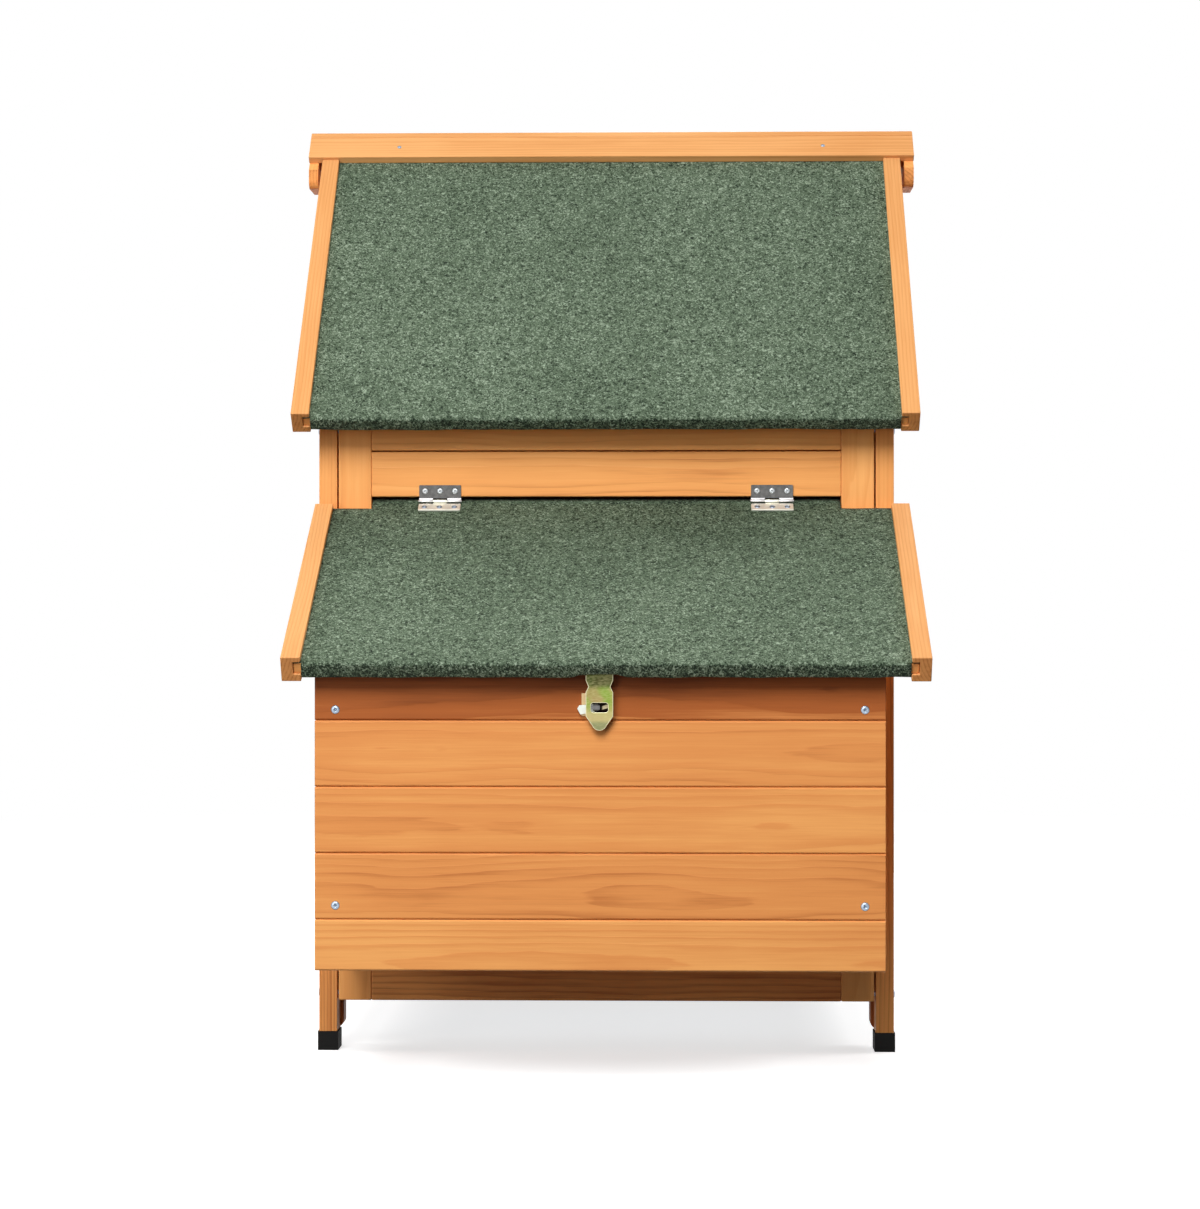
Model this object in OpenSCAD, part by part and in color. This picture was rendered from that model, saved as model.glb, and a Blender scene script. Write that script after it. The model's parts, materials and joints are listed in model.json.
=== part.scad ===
// Chicken coop with a nest box at the front and a mesh run behind.
// X is across, Y runs from the nest box to the far end of the run, Z is up.
// Every module works from the front face of the house, then at_place() centres the whole.

/* [House] */
// Width of the house over the outer faces of its legs
house_w = 575; // [500:5:640]
// Depth of the house from its front face to its rear face
house_d = 494; // [460:2:560]
// Height of the underside of the roof boards over the front face
wall_h = 663.5; // [645:0.5:720]
// Thickness of the leg strips and of every frame member
frame_t = 18; // [15:0.5:20]
// Depth of a leg strip, front to back
leg_d = 30; // [26:1:36]
// Width of the rails and stiles of the wall frames
rail_w = 33; // [28:1:38]
// Gap between a leg strip and the stile beside it
leg_gap = 1.5; // [0.5:0.1:2.5]
// Height of the lowest rails above the ground
rail_z = 50; // [46:1:64]
// Depth of the square posts behind the leg strips
post_d = 22; // [18:1:26]
// How far a post reaches inboard of its leg strip
post_in = 3.5; // [2:0.5:6]
// Height of the lower end of a post above the ground
post_z = 19; // [12:1:30]
// Radius of the rounded lower corner of a post
post_r = 7; // [3:0.5:9]
// Thickness of the wall boards
board_t = 10; // [8:0.5:12]
// Height of one wall board
board_h = 61; // [50:1:75]
// Bevel along the edges of the wall boards
board_bevel = 1.2; // [0.5:0.1:2]

/* [Boots] */
// Height of a rubber boot
boot_h = 19; // [14:1:26]
// Wall of a rubber boot
boot_wall = 1.2; // [0.8:0.1:2]
// Thickness of the floor of a rubber boot
boot_floor = 2; // [1.5:0.5:4]

/* [Roof] */
// Slope of the roof above the level
roof_angle = 47; // [42:1:49]
// Reach of the roof rails beyond the front and rear faces
roof_reach = 51; // [40:1:60]
// Gap between the legs of the house and the inner faces of the roof rails
roof_side_gap = 4.5; // [1:0.5:12]
// Thickness of the roof and lid boards
roof_t = 10; // [8:0.5:12]
// Thickness of the mineral felt
felt_t = 2; // [1.5:0.1:3]
// Width of the grooved side rails of roof and lid
edge_w = 18; // [15:0.5:20]
// Depth of the grooved side rails, square to the slope
edge_h = 25; // [22:0.5:30]
// Height of a side rail above the felt
edge_lip = 5.5; // [4:0.5:7]
// Depth of the groove in a side rail
groove_d = 7; // [5:0.5:9]
// Play of a panel in its grooves
groove_play = 0.25; // [0.1:0.05:0.4]
// Length of felt folded back under the lower edge
felt_fold = 15; // [8:1:25]

/* [Ridge cap] */
// Width of a cap board along the slope, measured on the felt
cap_w = 33; // [28:1:40]
// Thickness of a cap board
cap_t = 8.5; // [7:0.5:11]
// Thickness of the end plates that hang at the ends of the cap
ear_t = 10; // [7:0.5:12]
// Gap between the roof rails and the end plates
ear_gap = 4.5; // [2:0.5:8]
// Reach of the cap boards beyond the end plates
cap_reach = 0.5; // [0:0.5:4]
// Width of an end plate, front to back
ear_w = 60; // [48:1:62]
// Height of the lower edge of an end plate below the felt at the ridge
ear_drop = 52; // [46:1:64]
// Radius of the lower corners of an end plate
ear_r = 9; // [4:1:14]
// Distance of the cap nails from the middle
nail_x = 228; // [150:1:250]

/* [Front panel] */
// Distance of the lower edge of the rail that carries the lid hinges below the roof
hinge_rail_drop = 109; // [104:0.5:118]
// Height of the rail that carries the lid hinges
hinge_rail_h = 45; // [38:0.5:48]
// Gap between the hinge rail and the rail above it
rail_gap = 1.3; // [0.5:0.1:2]

/* [Nest box] */
// Reach of the nest box in front of the house
nest_d = 250; // [220:1:265]
// Width of the nest box
nest_w = 524; // [510:1:528]
// Height of the lower edge of the nest box above the ground
nest_z = 110; // [100:1:125]
// Thickness of the nest box boards
nest_t = 12; // [10:0.5:14]
// Height of the lowest nest box board
nest_first = 47.3; // [40:0.1:60]
// Thickness of the nest floor
nest_floor_t = 12; // [9:0.5:15]
// Side of the square battens inside the nest box
batten = 18; // [15:0.5:21]
// Distance of the battens' upper ends below the lid, for the tab to swing past
batten_drop = 25; // [22:1:30]
// Height of the divider between the two nests
divider_h = 150; // [110:5:190]
// Thickness of the divider and of the sill board
divider_t = 10; // [8:0.5:12]
// Height of the sill board above the nest floor
sill_h = 50; // [30:1:80]
// Distance of the nest box screws from the middle
nest_screw_x = 243; // [238:0.5:247]
// Height of the lower nest box screws
nest_screw_low = 170; // [165:1:200]
// Distance of the upper nest box screws below the upper edge of the front
nest_screw_drop = 42.5; // [42:0.5:90]

/* [Nest lid] */
// Slope of the closed lid below the level
lid_angle = 29.1; // [26:0.1:32]
// Length of the lid rails along the slope
lid_l = 306.7; // [295:0.1:315]
// Width over the outer faces of the lid rails
lid_w = 592; // [586:1:606]
// Shift of the lid to the right of the middle
lid_shift = 6; // [0:0.5:6]
// Distance from the hinge axis to the upper ends of the lid rails
lid_start = 10; // [8:0.5:14]
// Length of the tab that reaches in between the stiles
lid_tab = 21.7; // [16:0.1:22]
// Length of felt folded back under the lower edge of the lid
lid_fold = 8; // [3:0.5:9]
// Side clearance of the tab
tab_play = 1; // [0.6:0.1:2]

/* [Hinges] */
// Radius of the hinge knuckles
knuckle_r = 3; // [2.6:0.1:3.4]
// Radius of the hinge pins
pin_r = 1.25; // [1:0.05:1.4]
// Play between a pin and its knuckle
pin_play = 0.05; // [0.02:0.01:0.1]
// Length of a hinge along its pin
hinge_l = 42; // [36:1:50]
// Width of a hinge leaf from the pin to its edge
leaf_w = 16; // [14:0.5:20]
// Thickness of a hinge leaf
leaf_t = 1.5; // [1:0.1:1.6]
// Distance of the lid hinges from the middle
lid_hinge_x = 166; // [120:1:190]
// Height of the lid hinge axis below the hinge rail
lid_axis_drop = 4.5; // [4:0.1:6]
// Distance of a hinge's outer screws from its middle
hinge_screw_x = 15; // [12:0.5:16]
// Radius of the hinge screws
hinge_screw_r = 1.3; // [1:0.1:1.6]
// Length of the hinge screws under their heads
hinge_screw_l = 12; // [9:0.5:14]

/* [Hasp] */
// Width of the hasp strap
hasp_w = 25; // [22:0.5:30]
// Width of the strap's neck
hasp_neck = 20; // [16:0.5:21]
// Width of the strap's rounded tip
hasp_tip = 14; // [10:0.5:16]
// Thickness of the strap
hasp_t = 1.4; // [1.2:0.1:1.6]
// Length of the strap from its hinge to its tip
hasp_l = 57; // [52:0.5:64]
// Distances of the strap's shoulders and of its neck below its hinge
hasp_shoulder_down = 11; // [9:0.5:13]
hasp_neck_down = 17; // [15:0.5:19]
hasp_flare_down = 22; // [20:0.5:26]
// Distance from the strap's hinge to where it starts to taper
hasp_taper_down = 44; // [42:0.5:47]
// Reach of the hasp's leaf under the lid
hasp_leaf_reach = 24; // [20:0.5:30]
// Distance from the strap's hinge to the middle of its slot
hasp_slot_down = 36; // [33:0.5:39]
// Width of the slot
slot_w = 15.8; // [14:0.1:17]
// Height of the slot
slot_h = 8.9; // [8.8:0.1:10]
// Gap between the nest box and the strap
hasp_gap = 6.8; // [6:0.1:9]
// Width of the turn staple's head
staple_w = 7.5; // [6:0.1:7.6]
// Height of the turn staple's head
staple_h = 3.7; // [3:0.1:3.8]
// Length of the thumb lever of the turn staple
lever_l = 17; // [13:0.5:20]

/* [Doors] */
// Width of the opening for the house door
door_w = 278; // [250:1:300]
// Height of the house door
door_h = 336; // [300:1:370]
// Gap at the hinge side of a door
hinge_gap = 1.5; // [1:0.1:2.5]
// Distance of the door hinges from the ends of the door
door_hinge_in = 60; // [40:1:80]
// Gap at the free side, top and bottom of a door
door_gap = 2; // [1.5:0.1:3]
// Length of a turn button
button_l = 60; // [50:1:70]
// Width of a turn button
button_w = 20; // [16:1:24]
// Thickness of a turn button
button_t = 10; // [7:0.5:12]
// Width of the pop hole between house and run
pop_w = 180; // [150:2:200]
// Height of the pop hole
pop_h = 260; // [220:2:270]
// Thickness of the sliding pop door
pop_t = 6; // [5:0.5:8]
// Overlap of the pop door beyond its hole
pop_lap = 10; // [8:0.5:14]
// Running gap of sliding pieces
slide_gap = 0.4; // [0.3:0.05:0.6]

/* [Tray and perch] */
// Thickness of the tray's sheet
tray_t = 1.5; // [1:0.1:2.5]
// Height of the tray's walls
tray_h = 30; // [20:1:34]
// Height of the board that closes the front of the tray
tray_front_h = 37; // [35:1:45]
// Thickness of that board
tray_front_t = 12; // [9:0.5:14]
// Height of the perch above the ground
perch_z = 250; // [200:5:300]
// Width of the perch
perch_w = 30; // [24:1:40]
// Thickness of the perch
perch_t = 20; // [16:1:26]
// Height of the cleats under the perch
cleat_h = 30; // [20:1:40]
// Reach of a cleat beyond the perch at each side
cleat_reach = 6; // [3:1:10]
// Width of the tray runners
runner_w = 20; // [15:1:30]
// Distance of the tray runners from the posts
runner_in = 6; // [3:1:12]

/* [Run] */
// Length of the run behind the house
run_l = 860; // [700:10:1100]
// Distance of the run's side frames below the roof at the rear face
run_drop = 103.5; // [95:0.5:140]
// Pitch of the welded mesh
mesh_pitch = 32; // [28:1:45]
// Thickness of the mesh wires
mesh_wire = 1.2; // [1:0.1:2]

/* [Hidden] */

// Clearance where one wooden piece is set against another
fit = 0.3;
// Line left between the members of one frame
joint = 0.2;
// Facets of round pieces
round_fn = 48;

// Colours as the photograph shows them
wood = [0.91, 0.62, 0.36];
wood_pale = [0.94, 0.68, 0.41];
wood_dark = [0.72, 0.42, 0.22];
green_felt = [0.31, 0.41, 0.32];
zinc = [0.80, 0.81, 0.82];
gold_zinc = [0.77, 0.73, 0.50];
black_rubber = [0.10, 0.10, 0.11];
galvanised = [0.66, 0.68, 0.70];

// Faces across the width
roof_w = house_w + 2 * (roof_side_gap + edge_w);
leg_x1 = house_w / 2;
leg_x0 = leg_x1 - frame_t;
stile_x1 = leg_x0 - leg_gap;
stile_x0 = stile_x1 - rail_w;
rear_x = stile_x0 - joint;
wall_x0 = leg_x0 - board_t;
post_x0 = leg_x0 - post_in;

// Faces from front to back
ridge_y = house_d / 2;
post_y1 = leg_d + post_d;
bay_y0 = post_y1;
bay_y1 = house_d - post_y1;
run_y0 = house_d;
run_y1 = house_d + run_l;

// The roof, with u down the slope from the ridge and w square above the boards' underside
apex_z = wall_h + ridge_y * tan(roof_angle);
felt_w = roof_t + felt_t;
edge_top = felt_w + edge_lip;
edge_low = edge_top - edge_h;
eave_u = (ridge_y + roof_reach - edge_top * sin(roof_angle)) / cos(roof_angle);
cap_u = cap_w - felt_w * tan(roof_angle);
ear_x = roof_w / 2 + ear_gap;
cap_l = 2 * (ear_x + ear_t + cap_reach);
felt_apex_z = apex_z + felt_w / cos(roof_angle);
panel_x = roof_w / 2 - edge_w + groove_d - groove_play;
wrap_x = roof_w / 2 - edge_w - 0.5;

// The lid, with s down the slope from the hinge axis and n square above it
hinge_rail_z = wall_h - hinge_rail_drop;
hinge_y = -knuckle_r;
hinge_z = hinge_rail_z - lid_axis_drop;
lid_end = lid_start + lid_l;
lid_top = -knuckle_r;
lid_board_top = lid_top - felt_t;
lid_under = lid_board_top - roof_t;
lid_edge_top = lid_top + edge_lip;
lid_x0 = lid_shift - lid_w / 2;
lid_x1 = lid_shift + lid_w / 2;
tab_x = stile_x0 - tab_play;
centre_y = (run_y1 + boot_wall + lid_point(lid_end, lid_edge_top)[0]) / 2;

// The hasp hangs from a hinge under the lid, in front of the nest box
hasp_knuckle_r = 2.6;
hasp_pin_r = 1.1;
hasp_y = -nest_d - hasp_gap - hasp_t / 2;
hasp_n = lid_under - hasp_knuckle_r;
hasp_s = (hinge_y - hasp_y - hasp_n * sin(lid_angle)) / cos(lid_angle);
hasp_z = lid_point(hasp_s, hasp_n)[1];
slot_z = hasp_z - hasp_slot_down;
staple_x = -3.4;
staple_plate_t = 1.2;
hasp_leaf_t = 1.2;
hasp_leaf_room = hasp_leaf_t + 1;
staple_reach = hasp_gap + 1.8;

// Walls of the right-hand side, with the tray below the door
low_rail_z = rail_z - 6;
low_rail_h = 18;
tray_z = low_rail_z + low_rail_h + fit;
tray_x0 = -wall_x0 + 2;
tray_front_z = low_rail_z + low_rail_h + 1;
sill_z = tray_front_z + tray_front_h + 1;
door_z = sill_z + rail_w + door_gap;
header_z = door_z + door_h + door_gap;
door_y0 = bay_y0 + hinge_gap;
door_y1 = bay_y0 + door_w - door_gap;
door_post_y = bay_y0 + door_w;
door_axis_x = leg_x1 + knuckle_r;
door_axis_y = bay_y0 + hinge_gap / 2;
door_hinge_z = [door_z + door_hinge_in, door_z + door_h - door_hinge_in];

// The run door fills the first bay of the run on the right
upright_w = leg_d;
run_h = wall_h - run_drop;
run_bay = (run_l - 3 * upright_w) / 2;
bay1_y0 = run_y0 + upright_w;
bay1_y1 = bay1_y0 + run_bay;
bay2_y0 = bay1_y1 + upright_w;
bay2_y1 = bay2_y0 + run_bay;
run_rail_top = rail_z + rail_w;
run_inner_top = run_h - rail_w;
run_door_z0 = run_rail_top + door_gap;
run_door_z1 = run_inner_top - door_gap;
run_axis_y = bay1_y1 - hinge_gap / 2;
run_hinge_z = [run_door_z0 + door_hinge_in, run_door_z1 - door_hinge_in];

// Pop hole and its slide on the run side of the rear wall
pop_z = rail_z + rail_w;
pop_rail_z = pop_z + pop_h;
pop_half = pop_w / 2 + pop_lap;
pop_y0 = house_d + slide_gap;
pop_y1 = pop_y0 + pop_t;
pop_base = pop_z - 20;
guide_y1 = pop_y1 + slide_gap + 6;

// The upper rails close the front and the rear under the roof
top_rail_z = hinge_rail_z + hinge_rail_h + rail_gap;
top_rail_end = wall_h - fit;

// Screws
screw_r = 2.5;
screw_play = 0.05;
nest_screw_r = 1.7;
frame_screw_z = [rail_z + 7, top_rail_z + 20];
frame_screw_l = frame_t + leg_gap + 20;
nail_r = 1.1;
nail_u = cap_u - cap_w / 2;

function roof_point(u, w) = [
    ridge_y - u * cos(roof_angle) - w * sin(roof_angle),
    apex_z - u * sin(roof_angle) + w * cos(roof_angle)
];
function ridge_u(w) = -w * tan(roof_angle) + 0.1;
function lid_point(s, n) = [
    hinge_y - s * cos(lid_angle) - n * sin(lid_angle),
    hinge_z - s * sin(lid_angle) + n * cos(lid_angle)
];
function roof_z(y, w) = apex_z - abs(ridge_y - y) * tan(roof_angle) + w / cos(roof_angle);
function lid_z(y, n) = hinge_z + (y - hinge_y) * tan(lid_angle) + n / cos(lid_angle);
function board_profile(t, z0, z1) = [
    [0, z0 + board_bevel], [board_bevel, z0], [t, z0],
    [t, z1], [board_bevel, z1], [0, z1 - board_bevel]
];

module at_place() translate([0, -centre_y, 0]) children();
module block(x0, x1, y0, y1, z0, z1) translate([x0, y0, z0]) cube([x1 - x0, y1 - y0, z1 - z0]);
module along_x(x0, x1, points)
    translate([x0, 0, 0]) rotate([90, 0, 90]) linear_extrude(x1 - x0) polygon(points);
module along_y(y0, y1, points)
    translate([0, y1, 0]) rotate([90, 0, 0]) linear_extrude(y1 - y0) polygon(points);
module along_z(z0, z1, points) translate([0, 0, z0]) linear_extrude(z1 - z0) polygon(points);
module both_sides() {
    children();
    mirror([1, 0, 0]) children();
}
module front_and_rear() {
    children();
    translate([0, house_d, 0]) mirror([0, 1, 0]) children();
}
module rod_x(x0, x1, y, z, r)
    translate([x0, y, z]) rotate([0, 90, 0]) cylinder(h = x1 - x0, r = r, $fn = round_fn);
module rod_y(y0, y1, x, z, r)
    translate([x, y1, z]) rotate([90, 0, 0]) cylinder(h = y1 - y0, r = r, $fn = round_fn);

// The space under the roof boards, used to trim what stands below them
module under_roof(x0, x1, w = -fit) along_x(x0, x1, [
    [-roof_reach, 0], [house_d + roof_reach, 0], [house_d + roof_reach, roof_z(-roof_reach, w)],
    [ridge_y, apex_z + w / cos(roof_angle)], [-roof_reach, roof_z(-roof_reach, w)]
]);

// House frame
module frame_screw_places() {
    for (z = frame_screw_z)
        front_and_rear() both_sides() translate([leg_x1, frame_t / 2, z]) children();
}
module frame_screw_holes() {
    frame_screw_places() rotate([0, -90, 0])
        cylinder(h = frame_screw_l + 0.5, r = screw_r + screw_play, $fn = round_fn);
}
module legs() at_place() color(wood) difference() {
    intersection() {
        front_and_rear() both_sides() block(leg_x0, leg_x1, 0, leg_d, boot_floor, apex_z);
        under_roof(-house_w, house_w);
    }
    frame_screw_holes();
}
module post_outline() {
    difference() {
        translate([post_x0, post_z]) square([leg_x1 - post_x0, apex_z]);
        difference() {
            translate([post_x0 - 1, post_z - 1]) square(post_r + 1);
            translate([post_x0 + post_r, post_z + post_r]) circle(post_r, $fn = round_fn);
        }
    }
}
module corner_posts() at_place() color(wood_dark) difference() {
    intersection() {
        front_and_rear() both_sides() translate([0, post_y1, 0]) rotate([90, 0, 0])
            linear_extrude(post_d) post_outline();
        under_roof(-house_w, house_w);
    }
    house_hinge_places() hinge_holes();
}
module boot(x, y, w, d) translate([x, y, 0]) difference() {
    translate([-boot_wall, -boot_wall, 0]) cube([w + 2 * boot_wall, d + 2 * boot_wall, boot_h]);
    translate([0, 0, boot_floor]) cube([w, d, boot_h]);
}
module rubber_boots() at_place() color(black_rubber) {
    difference() {
        front_and_rear() both_sides() boot(leg_x0, 0, frame_t, leg_d);
        front_and_rear() both_sides()
            block(post_x0 - 1, leg_x1 + 5, leg_d + 0.1, post_y1 + 2, post_z - fit, boot_h + 1);
    }
    both_sides() boot(leg_x0, run_y1 - upright_w, frame_t, upright_w);
}
module gable_rails() at_place() color(wood) both_sides() {
    for (rear = [0, 1]) translate([0, rear * house_d, 0]) mirror([0, rear, 0])
        intersection() {
            along_x(leg_x0, leg_x1, [
                roof_point(ridge_u(-fit), -fit), roof_point(eave_u, -fit),
                roof_point(eave_u, -fit - rail_w), roof_point(ridge_u(-fit - rail_w), -fit - rail_w)
            ]);
            block(leg_x0 - 1, leg_x1 + 1, post_y1, house_d, 0, apex_z);
        }
}

// Front panel with the opening into the nest box
module front_stiles() at_place() color(wood) difference() {
    both_sides() block(stile_x0, stile_x1, 0, frame_t, rail_z, top_rail_end);
    frame_screw_holes();
}
module front_rails() at_place() color(wood_pale) difference() {
    union() {
        block(-stile_x0, stile_x0, 0, frame_t, rail_z, rail_z + rail_w);
        block(-stile_x0, stile_x0, 0, frame_t, hinge_rail_z, hinge_rail_z + hinge_rail_h);
        block(-stile_x0, stile_x0, 0, frame_t, top_rail_z, top_rail_end);
    }
    lid_hinge_places() hinge_holes();
}

// Left wall
module wall_board_rows(z0, z1) {
    rows = ceil((z1 - z0) / board_h);
    for (i = [0 : rows - 1]) {
        low = z0 + i * board_h;
        high = min(low + board_h - fit, z1);
        if (high - low > 3 * board_bevel) along_y(bay_y0, bay_y1, [
            for (p = board_profile(board_t, low, high)) [leg_x0 - p[0], p[1]]
        ]);
    }
}
module left_wall_rail() at_place() color(wood)
    mirror([1, 0, 0]) block(leg_x0, leg_x1, bay_y0, bay_y1, rail_z, rail_z + rail_w);
module left_wall_boards() at_place() color(wood) intersection() {
    mirror([1, 0, 0]) wall_board_rows(rail_z, apex_z - board_h / 2);
    under_roof(-house_w, 0);
}

// Right wall with the door opening and the slot for the tray
module right_door_surround() at_place() color(wood_pale) {
    block(leg_x0, leg_x1, bay_y0, bay_y1, low_rail_z, low_rail_z + low_rail_h);
    block(leg_x0, leg_x1, bay_y0, bay_y1, sill_z, sill_z + rail_w);
    block(leg_x0, leg_x1, bay_y0, bay_y1, header_z, header_z + rail_w);
    difference() {
        block(leg_x0, leg_x1, door_post_y, door_post_y + rail_w,
            sill_z + rail_w + joint, header_z - joint);
        house_button_hole();
    }
}
module right_wall_boards() at_place() color(wood) intersection() {
    difference() {
        wall_board_rows(sill_z, apex_z - board_h / 2);
        block(wall_x0 - 1, leg_x0 + 1, bay_y0 - 1, door_post_y, sill_z + rail_w / 2, header_z + 8);
    }
    under_roof(0, house_w);
}

// Rear wall with the pop hole
module rear_frame() at_place() color(wood) difference() {
    union() {
        both_sides() block(stile_x0, stile_x1, house_d - frame_t, house_d, rail_z, top_rail_end);
        for (z = [rail_z, pop_rail_z])
            block(-rear_x, rear_x, house_d - frame_t, house_d, z, z + rail_w);
        block(-rear_x, rear_x, house_d - frame_t, house_d, top_rail_z, top_rail_end);
    }
    frame_screw_holes();
}
module rear_wall_boards() at_place() color(wood_dark) difference() {
    rows = ceil((top_rail_end - pop_z + rail_w / 2) / board_h);
    union() for (i = [0 : rows - 1]) {
        low = pop_z - rail_w / 2 + i * board_h;
        high = min(low + board_h - fit, top_rail_end);
        if (high - low > 3 * board_bevel) along_x(-stile_x1, stile_x1, [
            for (p = board_profile(board_t, low, high)) [house_d - frame_t - p[0], p[1]]
        ]);
    }
    block(-pop_w / 2, pop_w / 2, house_d - frame_t - board_t - 1, house_d, 0, pop_rail_z);
}
module pop_door_guides() at_place() color(wood_pale) {
    both_sides() along_z(pop_base, roof_z(guide_y1, -2), [
        [pop_half + slide_gap, house_d], [pop_half + 18, house_d],
        [pop_half + 18, guide_y1], [pop_half - 8, guide_y1],
        [pop_half - 8, pop_y1 + slide_gap], [pop_half + slide_gap, pop_y1 + slide_gap]
    ]);
    block(-pop_half - 18, pop_half + 18, house_d, guide_y1, pop_base - 12, pop_base - fit);
}

// Tray runners, perch and its cleats
module tray_runners() at_place() color(wood_dark) {
    for (y = [bay_y0 + runner_in, bay_y1 - runner_in - runner_w])
        block(-wall_x0, leg_x0, y, y + runner_w, rail_z, low_rail_z + low_rail_h);
}
perch_y = (door_post_y + rail_w + bay_y1) / 2;
module perch() at_place() color(wood_pale)
    block(-wall_x0 + fit, wall_x0 - fit, perch_y - perch_w / 2, perch_y + perch_w / 2,
        perch_z - perch_t, perch_z);
module perch_cleats() at_place() color(wood) both_sides()
    block(wall_x0 - perch_t, wall_x0, perch_y - perch_w / 2 - cleat_reach,
        perch_y + perch_w / 2 + cleat_reach, perch_z - perch_t - cleat_h, perch_z - perch_t);

// Roof
module roof_slab(x0, x1, u0, u1, w0, w1, mitre = false) along_x(x0, x1, [
    roof_point(mitre ? ridge_u(w0) : u0, w0), roof_point(u1, w0),
    roof_point(u1, w1), roof_point(mitre ? ridge_u(w1) : u0, w1)
]);
module felt_layer() difference() {
    union() {
        both_sides() roof_slab(wrap_x, panel_x, 0, eave_u - felt_t, roof_t, felt_w, mitre = true);
        along_x(-wrap_x, wrap_x, [
            roof_point(ridge_u(roof_t), roof_t), roof_point(eave_u - felt_t, roof_t),
            roof_point(eave_u - felt_t, 0), roof_point(eave_u - felt_t - felt_fold, 0),
            roof_point(eave_u - felt_t - felt_fold, -felt_t), roof_point(eave_u, -felt_t),
            roof_point(eave_u, felt_w), roof_point(ridge_u(felt_w), felt_w)
        ]);
    }
    cap_nail_holes();
}
module roof_boards() at_place() color(wood) front_and_rear() difference() {
    roof_slab(-panel_x, panel_x, 0, eave_u - felt_t, 0, roof_t, mitre = true);
    cap_nail_holes();
}
module roof_felt_front() at_place() color(green_felt) felt_layer();
module roof_felt_rear() at_place() color(green_felt)
    translate([0, house_d, 0]) mirror([0, 1, 0]) felt_layer();
module roof_rails() at_place() color(wood_pale) front_and_rear() both_sides() difference() {
    roof_slab(roof_w / 2 - edge_w, roof_w / 2, cap_u + fit, eave_u, edge_low, edge_top);
    roof_slab(roof_w / 2 - edge_w - 1, roof_w / 2 - edge_w + groove_d, cap_u - 5, eave_u + 5,
        -groove_play, felt_w + groove_play);
}
// The rear cap board laps over the top of the front one
lap = cap_t / cos(90 - 2 * (90 - roof_angle));
module ridge_cap_boards() at_place() color(wood_pale) {
    difference() {
        roof_slab(-cap_l / 2, cap_l / 2, cap_u - 2 * cap_w, cap_u, felt_w, felt_w + cap_t);
        cap_nail_holes();
        translate([0, house_d, 0]) mirror([0, 1, 0])
            roof_slab(-cap_l, cap_l, cap_u - 3 * cap_w, cap_u, felt_w - joint, felt_w + 3 * cap_w);
    }
    translate([0, house_d, 0]) mirror([0, 1, 0]) difference() {
        roof_slab(-cap_l / 2, cap_l / 2, cap_u - cap_w - lap, cap_u, felt_w, felt_w + cap_t);
        cap_nail_holes();
    }
}
module ridge_end_plates() at_place() color(wood) both_sides()
    translate([ear_x, 0, 0]) rotate([90, 0, 90]) linear_extrude(ear_t)
    intersection() {
        polygon([
            [ridge_y - ear_w, 0], [ridge_y + ear_w, 0],
            [ridge_y + ear_w, felt_apex_z - ear_w * tan(roof_angle)],
            [ridge_y, felt_apex_z], [ridge_y - ear_w, felt_apex_z - ear_w * tan(roof_angle)]
        ]);
        hull() {
            for (side = [-1, 1]) translate([
                ridge_y + side * (ear_w / 2 - ear_r), felt_apex_z - ear_drop + ear_r
            ]) circle(ear_r, $fn = round_fn);
            translate([ridge_y - ear_w / 2, felt_apex_z - ear_drop + ear_r])
                square([ear_w, ear_drop]);
        }
    }
module cap_nail_places() {
    slope_mid = roof_point(nail_u, felt_w + cap_t);
    both_sides() translate([nail_x, slope_mid[0], slope_mid[1]])
        rotate([roof_angle, 0, 0]) children();
}
module cap_nail_holes() cap_nail_places()
    translate([0, 0, -cap_t - felt_w - 1])
        cylinder(h = 2 * (cap_t + felt_w), r = nail_r + screw_play, $fn = 24);
module cap_nails() at_place() color(zinc) front_and_rear() cap_nail_places() {
    translate([0, 0, 1 - cap_t - felt_w]) cylinder(h = cap_t + felt_w - 1, r = nail_r, $fn = 24);
    cylinder(h = 0.6, r = 2.2, $fn = 32);
}

// Nest box
nest_x1 = nest_w / 2;
nest_x0 = nest_x1 - nest_t;
nest_y0 = -nest_d;
nest_y1 = -nest_d + nest_t;
nest_top = lid_under - fit;
nest_front_top = lid_z(nest_y0, nest_top - hasp_leaf_room);
nest_screw_high = nest_front_top - nest_screw_drop;
nest_rows = ceil((hinge_z - nest_z - nest_first) / board_h) + 1;
function nest_low(i) = i == 0 ? nest_z : nest_z + nest_first + (i - 1) * board_h;
function nest_high(i) = nest_z + nest_first + i * board_h - fit;
module under_lid(x0, x1, y0, y1, drop = 0) along_x(x0, x1, [
    [y0, 0], [y1, 0], [y1, lid_z(y1, nest_top) - drop], [y0, lid_z(y0, nest_top) - drop]
]);
module nest_screw_places() for (z = [nest_screw_low, nest_screw_high])
    both_sides() translate([nest_screw_x, nest_y0, z]) rotate([-90, 0, 0]) children();
module nest_screw_holes() nest_screw_places()
    cylinder(h = nest_t + batten - 2, r = nest_screw_r + screw_play, $fn = 32);
module nest_front_boards() at_place() color(wood) difference() {
    for (i = [0 : nest_rows - 1]) {
        high = min(nest_high(i), nest_front_top);
        if (high - nest_low(i) > 3 * board_bevel) along_x(-nest_x1, nest_x1, [
            for (p = board_profile(nest_t, nest_low(i), high)) [nest_y0 + p[0], p[1]]
        ]);
    }
    nest_screw_holes();
    staple_shaft_hole();
}
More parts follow.
